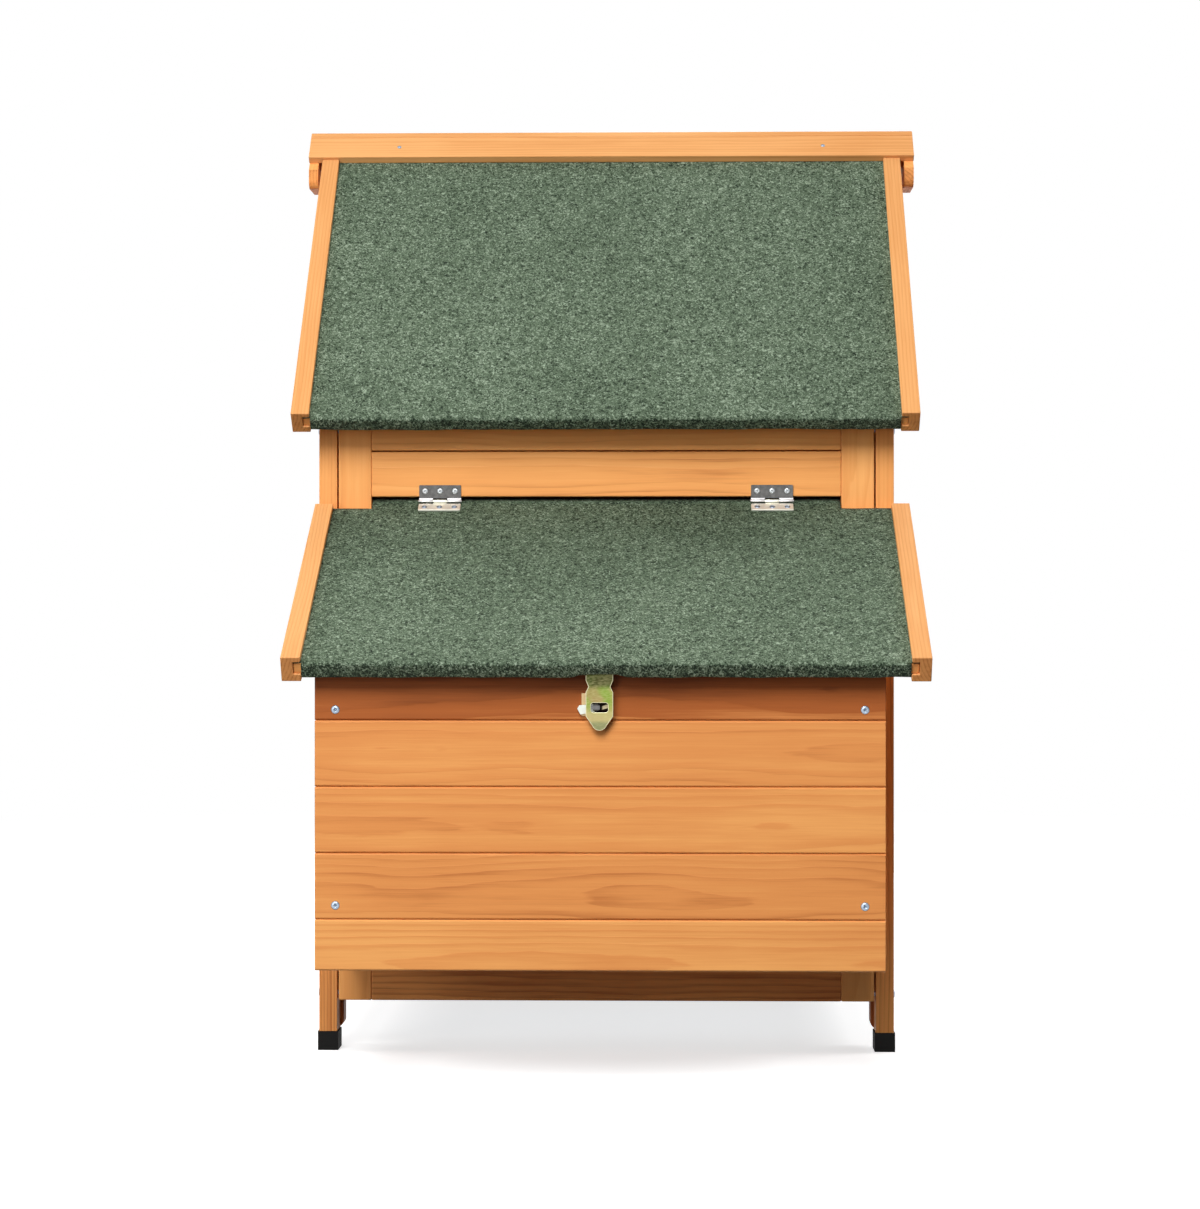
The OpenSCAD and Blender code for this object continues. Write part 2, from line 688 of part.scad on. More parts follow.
module nest_side_boards() at_place() color(wood) both_sides() intersection() {
    for (i = [0 : nest_rows - 1]) along_y(nest_y1, 0, [
        for (p = board_profile(nest_t, nest_low(i), nest_high(i))) [nest_x1 - p[0], p[1]]
    ]);
    under_lid(0, nest_w, nest_y1, 0);
}
module nest_battens() at_place() color(wood_dark) difference() {
    both_sides() intersection() {
        for (y = [nest_y1, -batten])
            block(nest_x0 - batten, nest_x0, y, y + batten, nest_z + nest_floor_t, wall_h);
        under_lid(0, nest_w, -nest_d, 0, drop = batten_drop);
    }
    nest_screw_holes();
}
module nest_floor() at_place() color(wood_dark)
    block(-nest_x0, nest_x0, nest_y1, 0, nest_z, nest_z + nest_floor_t);
module nest_divider() at_place() color(wood_dark)
    block(-divider_t / 2, divider_t / 2, nest_y1, 0,
        nest_z + nest_floor_t, nest_z + nest_floor_t + divider_h);
module nest_sill() at_place() color(wood_pale)
    block(-stile_x0, stile_x0, 0, divider_t, rail_z + rail_w, nest_z + nest_floor_t + sill_h);
module frame_screws() at_place() color(zinc) {
    nest_screw_places() {
        translate([0, 0, -1]) cylinder(h = 1, r = 3.7, $fn = 32);
        cylinder(h = nest_t + batten - 3, r = nest_screw_r, $fn = 32);
    }
    frame_screw_places() rotate([0, -90, 0]) {
        translate([0, 0, -1.5]) cylinder(h = 1.5, r = 4.5, $fn = 32);
        cylinder(h = frame_screw_l, r = screw_r, $fn = round_fn);
    }
}

// Butt hinges: the pin lies along X and the leaf stands up from it, its back at y = knuckle_r
module butt_leaf(middle) difference() {
    union() {
        block(-hinge_l / 2, hinge_l / 2, knuckle_r - leaf_t, knuckle_r, knuckle_r + fit, leaf_w);
        for (part = middle ? [[-hinge_l / 6 + 0.15, hinge_l / 6 - 0.15]]
            : [[-hinge_l / 2, -hinge_l / 6 - 0.15], [hinge_l / 6 + 0.15, hinge_l / 2]]) {
            rod_x(part[0], part[1], 0, 0, knuckle_r);
            block(part[0], part[1], knuckle_r - leaf_t, knuckle_r, 0, knuckle_r + fit + 0.1);
        }
    }
    rod_x(-hinge_l, hinge_l, 0, 0, pin_r + pin_play);
    hinge_screw_spots() cylinder(h = 20, r = hinge_screw_r + screw_play, center = true, $fn = 32);
}
module hinge_screw_spots() for (x = [-hinge_screw_x, 0, hinge_screw_x])
    translate([x, knuckle_r, (knuckle_r + leaf_w) / 2 + 0.5]) rotate([-90, 0, 0]) children();
module hinge_holes() hinge_screw_spots() translate([0, 0, -5])
    cylinder(h = hinge_screw_l + 5.5, r = hinge_screw_r + screw_play, $fn = 32);
module screw_set() hinge_screw_spots() {
    translate([0, 0, -leaf_t]) cylinder(h = hinge_screw_l + leaf_t, r = hinge_screw_r, $fn = 32);
    translate([0, 0, -leaf_t - 0.5]) cylinder(h = 0.5, r = 2.3, $fn = 32);
}
module hinge_pin() rod_x(-hinge_l / 2 - 0.5, hinge_l / 2 + 0.5, 0, 0, pin_r);

module lid_hinge_places() both_sides() translate([lid_hinge_x, hinge_y, hinge_z]) children();
module lid_leaf_places() lid_hinge_places() rotate([90 + lid_angle, 0, 0])
    mirror([0, 1, 0]) children();
module house_hinge_places() for (z = door_hinge_z)
    translate([door_axis_x, door_axis_y, z]) rotate([0, -90, 90]) children();
module house_leaf_places() for (z = door_hinge_z)
    translate([door_axis_x, door_axis_y, z]) mirror([0, 1, 0]) rotate([0, -90, 90]) children();
module run_hinge_places() for (z = run_hinge_z)
    translate([door_axis_x, run_axis_y, z]) mirror([0, 1, 0]) rotate([0, -90, 90]) children();
module run_leaf_places() for (z = run_hinge_z)
    translate([door_axis_x, run_axis_y, z]) rotate([0, -90, 90]) children();

module hinge_fixed_leaves() at_place() color(zinc) {
    lid_hinge_places() butt_leaf(false);
    house_hinge_places() butt_leaf(false);
    run_hinge_places() butt_leaf(false);
}
module hinge_pins() at_place() color(zinc) {
    lid_hinge_places() hinge_pin();
    house_hinge_places() hinge_pin();
    run_hinge_places() hinge_pin();
}
module hinge_screws() at_place() color(zinc) {
    lid_hinge_places() screw_set();
    house_hinge_places() screw_set();
    run_hinge_places() screw_set();
}

// Nest lid
module lid_slab(x0, x1, s0, s1, n0, n1) along_x(x0, x1, [
    lid_point(s0, n0), lid_point(s1, n0), lid_point(s1, n1), lid_point(s0, n1)
]);
lid_panel_x0 = lid_x0 + edge_w - groove_d + groove_play;
lid_panel_x1 = lid_x1 - edge_w + groove_d - groove_play;
lid_wrap_x0 = lid_x0 + edge_w + 0.5;
lid_wrap_x1 = lid_x1 - edge_w - 0.5;
module lid_holes() {
    lid_leaf_places() hinge_holes();
    hasp_screw_places() hasp_screw_shape(screw_play);
}
// The lid's panel with its tab, as seen square to the slope
module lid_plate(n0, n1) translate([0, hinge_y, hinge_z]) rotate([lid_angle, 0, 0])
    translate([0, 0, n0]) linear_extrude(n1 - n0) polygon([
        [lid_panel_x0, -lid_start], [-tab_x, -lid_start], [-tab_x, lid_tab - lid_start],
        [tab_x, lid_tab - lid_start], [tab_x, -lid_start], [lid_panel_x1, -lid_start],
        [lid_panel_x1, felt_t - lid_end], [lid_panel_x0, felt_t - lid_end]
    ]);
module lid_board() at_place() color(wood) difference() {
    lid_plate(lid_under, lid_board_top);
    lid_holes();
}
module lid_felt() at_place() color(green_felt) {
    difference() {
        lid_plate(lid_board_top, lid_top);
        lid_holes();
    }
    along_x(lid_wrap_x0, lid_wrap_x1, [
        lid_point(lid_end - felt_t, lid_top), lid_point(lid_end - felt_t, lid_under),
        lid_point(lid_end - felt_t - lid_fold, lid_under),
        lid_point(lid_end - felt_t - lid_fold, lid_under - felt_t),
        lid_point(lid_end, lid_under - felt_t), lid_point(lid_end, lid_top)
    ]);
}
module lid_rails() at_place() color(wood_pale) for (side = [0, 1])
    translate([lid_shift, 0, 0]) mirror([side, 0, 0]) difference() {
        lid_slab(lid_w / 2 - edge_w, lid_w / 2, lid_start, lid_end,
            lid_edge_top - edge_h, lid_edge_top);
        lid_slab(lid_w / 2 - edge_w - 1, lid_w / 2 - edge_w + groove_d, lid_start - 5, lid_end + 5,
            lid_under - groove_play, lid_top + groove_play);
    }
module lid_hinge_leaves() at_place() color(zinc) lid_leaf_places() butt_leaf(true);
module lid_hinge_screws() at_place() color(zinc) lid_leaf_places() screw_set();

// Hasp
module hasp_screw_places() for (x = [-6, 6]) {
    spot = lid_point(hasp_s - 14, lid_under);
    translate([x, spot[0], spot[1]]) rotate([lid_angle, 0, 0]) children();
}
module hasp_screw_shape(play) {
    translate([0, 0, -hasp_leaf_t - play])
        cylinder(h = hasp_leaf_t + 8 + play, r = 1.3 + play, $fn = 24);
}
module hasp_leaf() at_place() color(gold_zinc) {
    difference() {
        union() {
            lid_slab(-hasp_w / 2, hasp_w / 2, hasp_s - hasp_leaf_reach, hasp_s - hasp_knuckle_r - fit,
                lid_under - hasp_leaf_t, lid_under);
            both_sides() {
                lid_slab(4.6, hasp_w / 2, hasp_s - hasp_knuckle_r - fit - 0.1, hasp_s,
                    lid_under - hasp_leaf_t, lid_under);
                rod_x(4.6, hasp_w / 2, hasp_y, hasp_z, hasp_knuckle_r);
            }
        }
        rod_x(-hasp_w, hasp_w, hasp_y, hasp_z, hasp_pin_r + pin_play);
        hasp_screw_places() hasp_screw_shape(screw_play);
    }
    rod_x(-hasp_w / 2 - 0.5, hasp_w / 2 + 0.5, hasp_y, hasp_z, hasp_pin_r);
    hasp_screw_places() {
        hasp_screw_shape(0);
        translate([0, 0, -hasp_leaf_t - 0.5]) cylinder(h = 0.5, r = 2.4, $fn = 24);
    }
}
module hasp_strap() at_place() color(gold_zinc) difference() {
    union() {
        translate([0, hasp_y + hasp_t / 2, hasp_z]) rotate([90, 0, 0]) linear_extrude(hasp_t)
            difference() {
                union() {
                    polygon([
                        [4.3, 0], [4.3, -hasp_knuckle_r - 0.6],
                        [hasp_w / 2, -hasp_knuckle_r - 0.6], [hasp_w / 2, -hasp_shoulder_down],
                        [hasp_neck / 2, -hasp_neck_down], [hasp_w / 2, -hasp_flare_down],
                        [hasp_w / 2, -hasp_taper_down], [hasp_tip / 2, -hasp_l + 5],
                        [-hasp_tip / 2, -hasp_l + 5], [-hasp_w / 2, -hasp_taper_down],
                        [-hasp_w / 2, -hasp_flare_down], [-hasp_neck / 2, -hasp_neck_down],
                        [-hasp_w / 2, -hasp_shoulder_down],
                        [-hasp_w / 2, -hasp_knuckle_r - 0.6], [-4.3, -hasp_knuckle_r - 0.6],
                        [-4.3, 0]
                    ]);
                    intersection() {
                        translate([0, -hasp_l + hasp_tip / 2]) circle(hasp_tip / 2, $fn = 40);
                        translate([-hasp_tip, -hasp_l]) square([2 * hasp_tip, hasp_tip]);
                    }
                }
                slot_outline();
            }
        rod_x(-4.3, 4.3, hasp_y, hasp_z, hasp_knuckle_r);
    }
    rod_x(-hasp_w, hasp_w, hasp_y, hasp_z, hasp_pin_r + pin_play);
}
module slot_outline() {
    slot_r = 2.5;
    for (x = [-1, 1], z = [-1, 1])
        translate([x * (slot_w / 2 - slot_r), -hasp_slot_down + z * (slot_h / 2 - slot_r)])
            circle(slot_r, $fn = 24);
    translate([-slot_w / 2 + slot_r, -hasp_slot_down - slot_h / 2])
        square([slot_w - 2 * slot_r, slot_h]);
    translate([-slot_w / 2, -hasp_slot_down - slot_h / 2 + slot_r])
        square([slot_w, slot_h - 2 * slot_r]);
}

// Turn staple
module staple_shaft_hole() rod_y(nest_y0 - 2, nest_y0 + 9, staple_x, slot_z, 2.05);
module staple_plate() at_place() color(zinc) difference() {
    block(-16.6, 12.4, nest_y0 - staple_plate_t, nest_y0, slot_z - 8, slot_z + 13);
    staple_shaft_hole();
}
module turn_staple() at_place() color(zinc) union() {
    rod_y(nest_y0 - 2, nest_y0 + 8, staple_x, slot_z, 2);
    rod_y(nest_y0 - hasp_gap + 1, nest_y0 - staple_plate_t - 0.3, staple_x, slot_z, 3.6);
    translate([staple_x, nest_y0 - 2.2, slot_z]) rotate([90, 0, 0])
        linear_extrude(hasp_gap - 4.2) polygon([
            [0, 3.4], [-lever_l + 2, 2], [-lever_l, -1], [-lever_l + 3, -6.5], [0, -3.6]
        ]);
    block(staple_x - staple_w / 2, staple_x + staple_w / 2, nest_y0 - staple_reach,
        nest_y0 - hasp_gap + 1.5, slot_z - staple_h / 2, slot_z + staple_h / 2);
}

// House door
module house_door_frame() at_place() color(wood_pale) difference() {
    union() {
        for (y = [door_y0, door_y1 - rail_w])
            block(leg_x0, leg_x1, y, y + rail_w, door_z, door_z + door_h);
        for (z = [door_z, door_z + door_h - rail_w])
            block(leg_x0, leg_x1, door_y0 + rail_w + joint, door_y1 - rail_w - joint,
                z, z + rail_w);
    }
    house_leaf_places() hinge_holes();
}
module house_door_boards() at_place() color(wood) {
    low_edge = door_z + 6;
    high_edge = door_z + door_h - 6;
    rows = ceil((high_edge - low_edge) / board_h);
    for (i = [0 : rows - 1]) {
        low = low_edge + i * board_h;
        high = min(low + board_h - fit, high_edge);
        if (high - low > 3 * board_bevel) along_y(door_y0 + 3, door_y1 - 3, [
            for (p = board_profile(board_t, low, high)) [leg_x0 - p[0], p[1]]
        ]);
    }
}
module house_door_hinge_leaves() at_place() color(zinc) {
    house_leaf_places() butt_leaf(true);
    house_leaf_places() screw_set();
}
module button(y, z) {
    translate([leg_x1 + fit, y, z]) rotate([0, 90, 0]) {
        hull() for (x = [-1, 1]) translate([x * (button_l - button_w) / 2, 0, 0])
            cylinder(h = button_t, r = button_w / 2, $fn = 32);
        translate([0, 0, button_t]) cylinder(h = 1.5, r = 4.5, $fn = 32);
    }
    rod_x(leg_x1 - 12, leg_x1 + 1, y, z, screw_r);
}
house_button_y = door_post_y + rail_w / 2;
house_button_z = door_z + door_h / 2;
module house_button_hole()
    rod_x(leg_x1 - 12.5, leg_x1 + 1, house_button_y, house_button_z, screw_r + pin_play);
module house_door_button() at_place() color(wood) button(house_button_y, house_button_z);

// Tray and pop door
module tray_pan() at_place() color(galvanised) difference() {
    block(tray_x0, leg_x1 - tray_front_t, bay_y0 + 2, bay_y1 - 2, tray_z, tray_z + tray_h);
    block(tray_x0 + tray_t, leg_x1 - tray_front_t - tray_t, bay_y0 + 2 + tray_t,
        bay_y1 - 2 - tray_t, tray_z + tray_t, tray_z + tray_h + 1);
}
module tray_front() at_place() color(wood_pale) difference() {
    block(leg_x1 - tray_front_t, leg_x1, bay_y0 + 1, bay_y1 - 1,
        tray_front_z, tray_front_z + tray_front_h);
    hull() for (y = [-1, 1])
        rod_x(leg_x1 - tray_front_t - 1, leg_x1 + 1, ridge_y + y * 30,
            tray_front_z + tray_front_h, 11);
}
module pop_door() at_place() color(wood) {
    block(-pop_half, pop_half, pop_y0, pop_y1, pop_base, pop_rail_z + 12);
    translate([0, pop_y1, pop_z + pop_h / 2]) rotate([-90, 0, 0]) {
        cylinder(h = 10, r = 6, $fn = 32);
        translate([0, 0, 10]) cylinder(h = 10, r = 13, $fn = 32);
    }
}

// Run
module side_frame() {
    for (y = [run_y0, bay1_y1, bay2_y1])
        block(leg_x0, leg_x1, y, y + upright_w, y == bay2_y1 ? boot_floor : rail_z, run_h);
    for (bay = [[bay1_y0, bay1_y1], [bay2_y0, bay2_y1]]) {
        for (z = [rail_z, run_inner_top])
            block(leg_x0, leg_x1, bay[0] + joint, bay[1] - joint, z, z + rail_w);
    }
}
module run_side_frames() at_place() color(wood) {
    mirror([1, 0, 0]) side_frame();
    difference() {
        side_frame();
        run_hinge_places() hinge_holes();
        rod_x(leg_x1 - 12.5, leg_x1 + 1, run_button_y, run_button_z, screw_r + pin_play);
    }
}
run_button_y = run_y0 + upright_w / 2;
run_button_z = (run_door_z0 + run_door_z1) / 2;
end_y0 = run_y1 - frame_t;
module run_end_frame() at_place() color(wood) {
    both_sides() block(leg_x0 - rail_w, leg_x0, end_y0, run_y1, rail_z, run_h);
    for (z = [rail_z, run_inner_top])
        block(-leg_x0 + rail_w + joint, leg_x0 - rail_w - joint, end_y0, run_y1, z, z + rail_w);
}
top_y0 = pop_y1 + slide_gap + 16;
module run_top_frame() at_place() color(wood_pale) {
    both_sides() block(leg_x1 - rail_w, leg_x1, top_y0, run_y1, run_h, run_h + frame_t);
    for (y = [top_y0, (top_y0 + run_y1 - rail_w) / 2, run_y1 - rail_w])
        block(-leg_x1 + rail_w + joint, leg_x1 - rail_w - joint, y, y + rail_w,
            run_h, run_h + frame_t);
}

// Flat mesh of crossed wires, which all but touch where they are welded
weld_gap = 0.05;
net_t = 2 * mesh_wire + weld_gap;
wire_sides = 8;
module wire(l) rotate(180 / wire_sides) cylinder(h = l, r = mesh_wire / 2, $fn = wire_sides);
module net(width, height) {
    columns = floor((width - mesh_wire) / mesh_pitch);
    rows = floor((height - mesh_wire) / mesh_pitch);
    for (i = [0 : columns])
        translate([mesh_wire / 2 + i * (width - mesh_wire) / columns, 0, net_t - mesh_wire / 2])
            rotate([-90, 0, 0]) wire(height);
    for (j = [0 : rows])
        translate([0, mesh_wire / 2 + j * (height - mesh_wire) / rows, mesh_wire / 2])
            rotate([0, 90, 0]) wire(width);
}
mesh_lap = 12;
module side_net(y0, y1, z0, z1)
    translate([leg_x0 - net_t, y0 - mesh_lap, z0 - mesh_lap]) rotate([90, 0, 90])
        net(y1 - y0 + 2 * mesh_lap, z1 - z0 + 2 * mesh_lap);
module run_side_mesh() at_place() color(galvanised) {
    mirror([1, 0, 0]) {
        side_net(bay1_y0, bay1_y1, run_rail_top, run_inner_top);
        side_net(bay2_y0, bay2_y1, run_rail_top, run_inner_top);
    }
    side_net(bay2_y0, bay2_y1, run_rail_top, run_inner_top);
}
module run_end_mesh() at_place() color(galvanised)
    translate([-leg_x0 + rail_w - mesh_lap, end_y0, run_rail_top - mesh_lap])
        rotate([90, 0, 0]) net(2 * (leg_x0 - rail_w + mesh_lap),
            run_inner_top - run_rail_top + 2 * mesh_lap);
module run_top_mesh() at_place() color(galvanised) for (half = [0, 1]) {
    step = (run_y1 - rail_w - top_y0) / 2;
    translate([-leg_x0 + 2, top_y0 + rail_w - mesh_lap + half * step, run_h - net_t])
        net(2 * (leg_x0 - 2), step - rail_w + 2 * mesh_lap);
}

// Run door
run_door_y0 = bay1_y0 + door_gap;
run_door_y1 = bay1_y1 - hinge_gap;
module run_door_frame() at_place() color(wood) difference() {
    union() {
        for (y = [run_door_y0, run_door_y1 - rail_w])
            block(leg_x0, leg_x1, y, y + rail_w, run_door_z0, run_door_z1);
        for (z = [run_door_z0, run_door_z1 - rail_w])
            block(leg_x0, leg_x1, run_door_y0 + rail_w + joint, run_door_y1 - rail_w - joint,
                z, z + rail_w);
    }
    run_leaf_places() hinge_holes();
}
module run_door_mesh() at_place() color(galvanised)
    side_net(run_door_y0 + rail_w, run_door_y1 - rail_w,
        run_door_z0 + rail_w, run_door_z1 - rail_w);
module run_door_hinge_leaves() at_place() color(zinc) {
    run_leaf_places() butt_leaf(true);
    run_leaf_places() screw_set();
}
module run_door_button() at_place() color(wood) button(run_button_y, run_button_z);

legs();
corner_posts();
rubber_boots();
front_stiles();
front_rails();
gable_rails();
left_wall_rail();
left_wall_boards();
right_door_surround();
right_wall_boards();
rear_frame();
rear_wall_boards();
pop_door_guides();
tray_runners();
perch();
perch_cleats();
roof_boards();
roof_felt_front();
roof_felt_rear();
roof_rails();
ridge_cap_boards();
ridge_end_plates();
cap_nails();
nest_front_boards();
nest_side_boards();
nest_battens();
nest_floor();
nest_divider();
nest_sill();
staple_plate();
hinge_fixed_leaves();
hinge_pins();
hinge_screws();
frame_screws();
run_side_frames();
run_end_frame();
run_top_frame();
run_side_mesh();
run_end_mesh();
run_top_mesh();
lid_board();
lid_felt();
lid_rails();
lid_hinge_leaves();
lid_hinge_screws();
hasp_leaf();
hasp_strap();
turn_staple();
tray_pan();
tray_front();
pop_door();
house_door_frame();
house_door_boards();
house_door_hinge_leaves();
house_door_button();
run_door_frame();
run_door_mesh();
run_door_hinge_leaves();
run_door_button();
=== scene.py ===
# %% [markdown]
# A small chicken coop of stained fir. A house with a felted roof stands in front, its nest box faces the
# viewer under a lid that lifts, and a mesh run stands behind. The timber, tins and wires arrive as plain
# solids, each on the body that moves it. What is left is the look of every piece, made here one by one.
# Three helpers that several steps share come first.

# %% Load the plain solids
import json
import math
import random

import bmesh
import bpy
import numpy as np
from mathutils import Matrix, Vector, noise


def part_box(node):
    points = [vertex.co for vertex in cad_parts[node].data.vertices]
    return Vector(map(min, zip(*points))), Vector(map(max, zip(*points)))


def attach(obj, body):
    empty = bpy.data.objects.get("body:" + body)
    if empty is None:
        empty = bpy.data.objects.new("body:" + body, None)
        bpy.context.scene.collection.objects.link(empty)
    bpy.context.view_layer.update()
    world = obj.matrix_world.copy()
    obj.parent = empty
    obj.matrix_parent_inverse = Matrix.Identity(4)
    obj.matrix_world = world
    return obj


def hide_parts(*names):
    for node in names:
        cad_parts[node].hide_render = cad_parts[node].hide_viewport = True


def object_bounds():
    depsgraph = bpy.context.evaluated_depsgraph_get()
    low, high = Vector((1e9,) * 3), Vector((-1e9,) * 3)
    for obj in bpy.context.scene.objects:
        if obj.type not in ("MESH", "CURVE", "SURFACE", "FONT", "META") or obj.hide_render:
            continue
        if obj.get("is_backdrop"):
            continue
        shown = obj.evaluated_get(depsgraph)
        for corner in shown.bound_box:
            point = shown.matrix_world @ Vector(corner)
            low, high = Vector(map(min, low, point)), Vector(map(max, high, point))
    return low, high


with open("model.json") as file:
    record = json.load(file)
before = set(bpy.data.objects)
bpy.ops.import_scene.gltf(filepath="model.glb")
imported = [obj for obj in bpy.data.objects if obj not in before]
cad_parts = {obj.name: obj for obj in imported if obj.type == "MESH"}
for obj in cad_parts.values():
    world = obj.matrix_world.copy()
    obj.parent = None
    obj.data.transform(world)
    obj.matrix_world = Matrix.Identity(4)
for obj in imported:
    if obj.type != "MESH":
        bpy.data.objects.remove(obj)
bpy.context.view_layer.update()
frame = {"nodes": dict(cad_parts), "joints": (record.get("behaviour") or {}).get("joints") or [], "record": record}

nodes = frame["nodes"]
body_of_node = {}
for body, names in frame["record"]["behaviour"]["bodies"].items():
    body_of_node.update({name: body for name in names})


def in_scene(name, data):
    """A new object, placed in the scene."""
    made = bpy.data.objects.new(name, data)
    bpy.context.scene.collection.objects.link(made)
    return made


def mesh_of(shape, name):
    """Turns a shape into a mesh and lets the shape go."""
    mesh = bpy.data.meshes.new(name)
    shape.to_mesh(mesh)
    shape.free()
    return mesh


def welded(name):
    """A copy of a solid whose triangles share their corners."""
    shape = bmesh.new()
    shape.from_mesh(nodes[name].data)
    bmesh.ops.remove_doubles(shape, verts=shape.verts, dist=1e-6)
    return shape


# %% [markdown]
# The camera comes first, because it decides how fine the work has to be. The picture to match was taken
# level, about three metres from the house, from a little right of its middle and turned slightly left.
# A long lens keeps the sides of the house nearly parallel. At that distance a millimetre of timber is
# one pixel of a picture 1200 pixels wide, so grain and granules finer than a millimetre only blend.

# %% Camera
photo_w, photo_h = 1200, 1209
focal_px = 3000
sensor_mm = 36.0
house_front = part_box("legs")[0].y
stand_off = 3.0
camera_x, camera_z = 0.069, 0.4465
turn_left = math.radians(1.43)

eye = in_scene("eye", bpy.data.cameras.new("eye"))
eye.data.sensor_width = sensor_mm
eye.data.lens = focal_px / max(photo_w, photo_h) * sensor_mm
eye.data.clip_end = 100
eye.location = (camera_x, house_front - stand_off, camera_z)
eye.rotation_euler = (math.pi / 2, 0, turn_left)
bpy.context.scene.camera = eye
bpy.context.scene.view_settings.view_transform = "Standard"
print("lens", round(eye.data.lens, 2), "mm")

# %% [markdown]
# Materials are easier to read as sums than as boxes and noodles. One small class wraps a socket, and the
# usual signs on it add a Math node each. Everything else comes from one method that takes the kind of
# node, its settings and what goes into its sockets. Colours mix with the Mix node, since a Math node
# would turn them grey.

# %% A small language for materials
class Wire:
    """An output of a node, which ordinary arithmetic can be done on."""

    def __init__(self, paint, socket):
        self.paint, self.socket = paint, socket

    def out(self, name):
        return Wire(self.paint, self.socket.node.outputs[name])

    def maths(self, operation, *terms):
        return self.paint.node("ShaderNodeMath", {"operation": operation}, dict(enumerate(terms)))

    def __add__(self, other):
        return self.maths("ADD", self, other)

    def __sub__(self, other):
        return self.maths("SUBTRACT", self, other)

    def __rsub__(self, other):
        return self.maths("SUBTRACT", other, self)

    def __mul__(self, other):
        return self.maths("MULTIPLY", self, other)

    def __pow__(self, other):
        return self.maths("POWER", self, other)

    def __gt__(self, other):
        return self.maths("GREATER_THAN", self, other)

    __radd__ = __add__

    def fraction(self):
        return self.maths("FRACT", self)

    def ramp(self, low, high):
        """0 below low, 1 above high, and smooth between; low may be the larger one."""
        if low > high:
            return 1 - self.ramp(high, low)
        sockets = {"Value": self, "From Min": low, "From Max": high}
        return self.paint.node("ShaderNodeMapRange", {"interpolation_type": "SMOOTHSTEP"}, sockets)


class Paint:
    """A material in the making: its nodes and its one shader."""

    def __init__(self, name):
        self.material = bpy.data.materials.new(name)
        self.material.use_nodes = True
        self.tree = self.material.node_tree
        self.shader = self.tree.nodes["Principled BSDF"]

    def node(self, kind, settings=None, sockets=None):
        made = self.tree.nodes.new(kind)
        for name, value in (settings or {}).items():
            setattr(made, name, value)
        for name, value in (sockets or {}).items():
            self.put(made.inputs[name], value)
        first = next(socket for socket in made.outputs if socket.enabled)
        return Wire(self, first)

    def put(self, socket, value):
        if isinstance(value, Wire):
            self.tree.links.new(value.socket, socket)
        else:
            socket.default_value = value

    def shade(self, **sockets):
        for name, value in sockets.items():
            self.put(self.shader.inputs[name.replace("_", " ")], value)

    def place(self):
        """The spot on the surface, in the object's own coordinates."""
        return self.node("ShaderNodeTexCoord").out("Object")

    def attribute(self, name, kind="Fac"):
        return self.node("ShaderNodeAttribute", {"attribute_name": name}).out(kind)

    def axes(self, vector):
        """The X, Y and Z of a vector, each by its name."""
        return self.node("ShaderNodeSeparateXYZ", {}, {0: vector})

    def cells(self, vector, scale):
        """Voronoi cells: how far off a cell's middle is, and a random value for each cell."""
        made = self.node("ShaderNodeTexVoronoi", {}, {"Vector": vector, "Scale": scale})
        return made.out("Distance"), self.node("ShaderNodeSeparateColor", {}, {0: made.out("Color")})

    def mix(self, share, first, second):
        made = self.tree.nodes.new("ShaderNodeMix")
        made.data_type = "RGBA"
        slots = {"Factor_Float": share, "A_Color": first, "B_Color": second}
        for socket in made.inputs:
            if socket.identifier in slots:
                self.put(socket, slots[socket.identifier])
        return Wire(self, next(s for s in made.outputs if s.identifier == "Result_Color"))

    def scaled(self, vector, factors):
        return self.node("ShaderNodeVectorMath", {"operation": "MULTIPLY"}, {0: vector, 1: factors})

    def noise(self, vector, scale, detail=2.0, rough=0.5):
        return self.node("ShaderNodeTexNoise", {}, {
            "Vector": vector, "Scale": scale, "Detail": detail, "Roughness": rough})

    def relief(self, height, depth, strength=1.0):
        return self.node("ShaderNodeBump", {}, {
            "Height": height, "Distance": depth, "Strength": strength})


def ink(red, green, blue):
    """A colour as a paint chip gives it, 0 to 255, made linear for the shader."""
    def linear(value):
        share = value / 255
        return share / 12.92 if share <= 0.04045 else ((share + 0.055) / 1.055) ** 2.4
    return (linear(red), linear(green), linear(blue), 1.0)


print("a mid orange is", [round(v, 3) for v in ink(233, 163, 92)[:3]])

# %% [markdown]
# The floor and the background of the picture are pure white, but the shaded timber under the nest box is
# dark, so little light came up from below. The floor is therefore white only to the eye and to polished
# metal, while it throws back as little light as a dark grey floor. It still shows the soft shadow of the
# coop. Far from the coop, where the lamps don't reach, it turns into plain white, so no horizon shows.

# %% Floor and surroundings
floor_size = 60.0
floor_white = 0.8
floor_lift = 0.68
floor_grey = 0.06
near_floor, far_floor = 1.1, 3.0
floor_drop = 0.0002
sky_light = 0.06


def seen_directly(paint):
    """1 for rays from the eye, from polished metal or through glass, and 0 for the rest."""
    path = paint.node("ShaderNodeLightPath")
    seen = path.out("Is Camera Ray").maths("MAXIMUM", path.out("Is Camera Ray"), path.out("Is Glossy Ray"))
    return seen.maths("MAXIMUM", seen, path.out("Is Transmission Ray"))


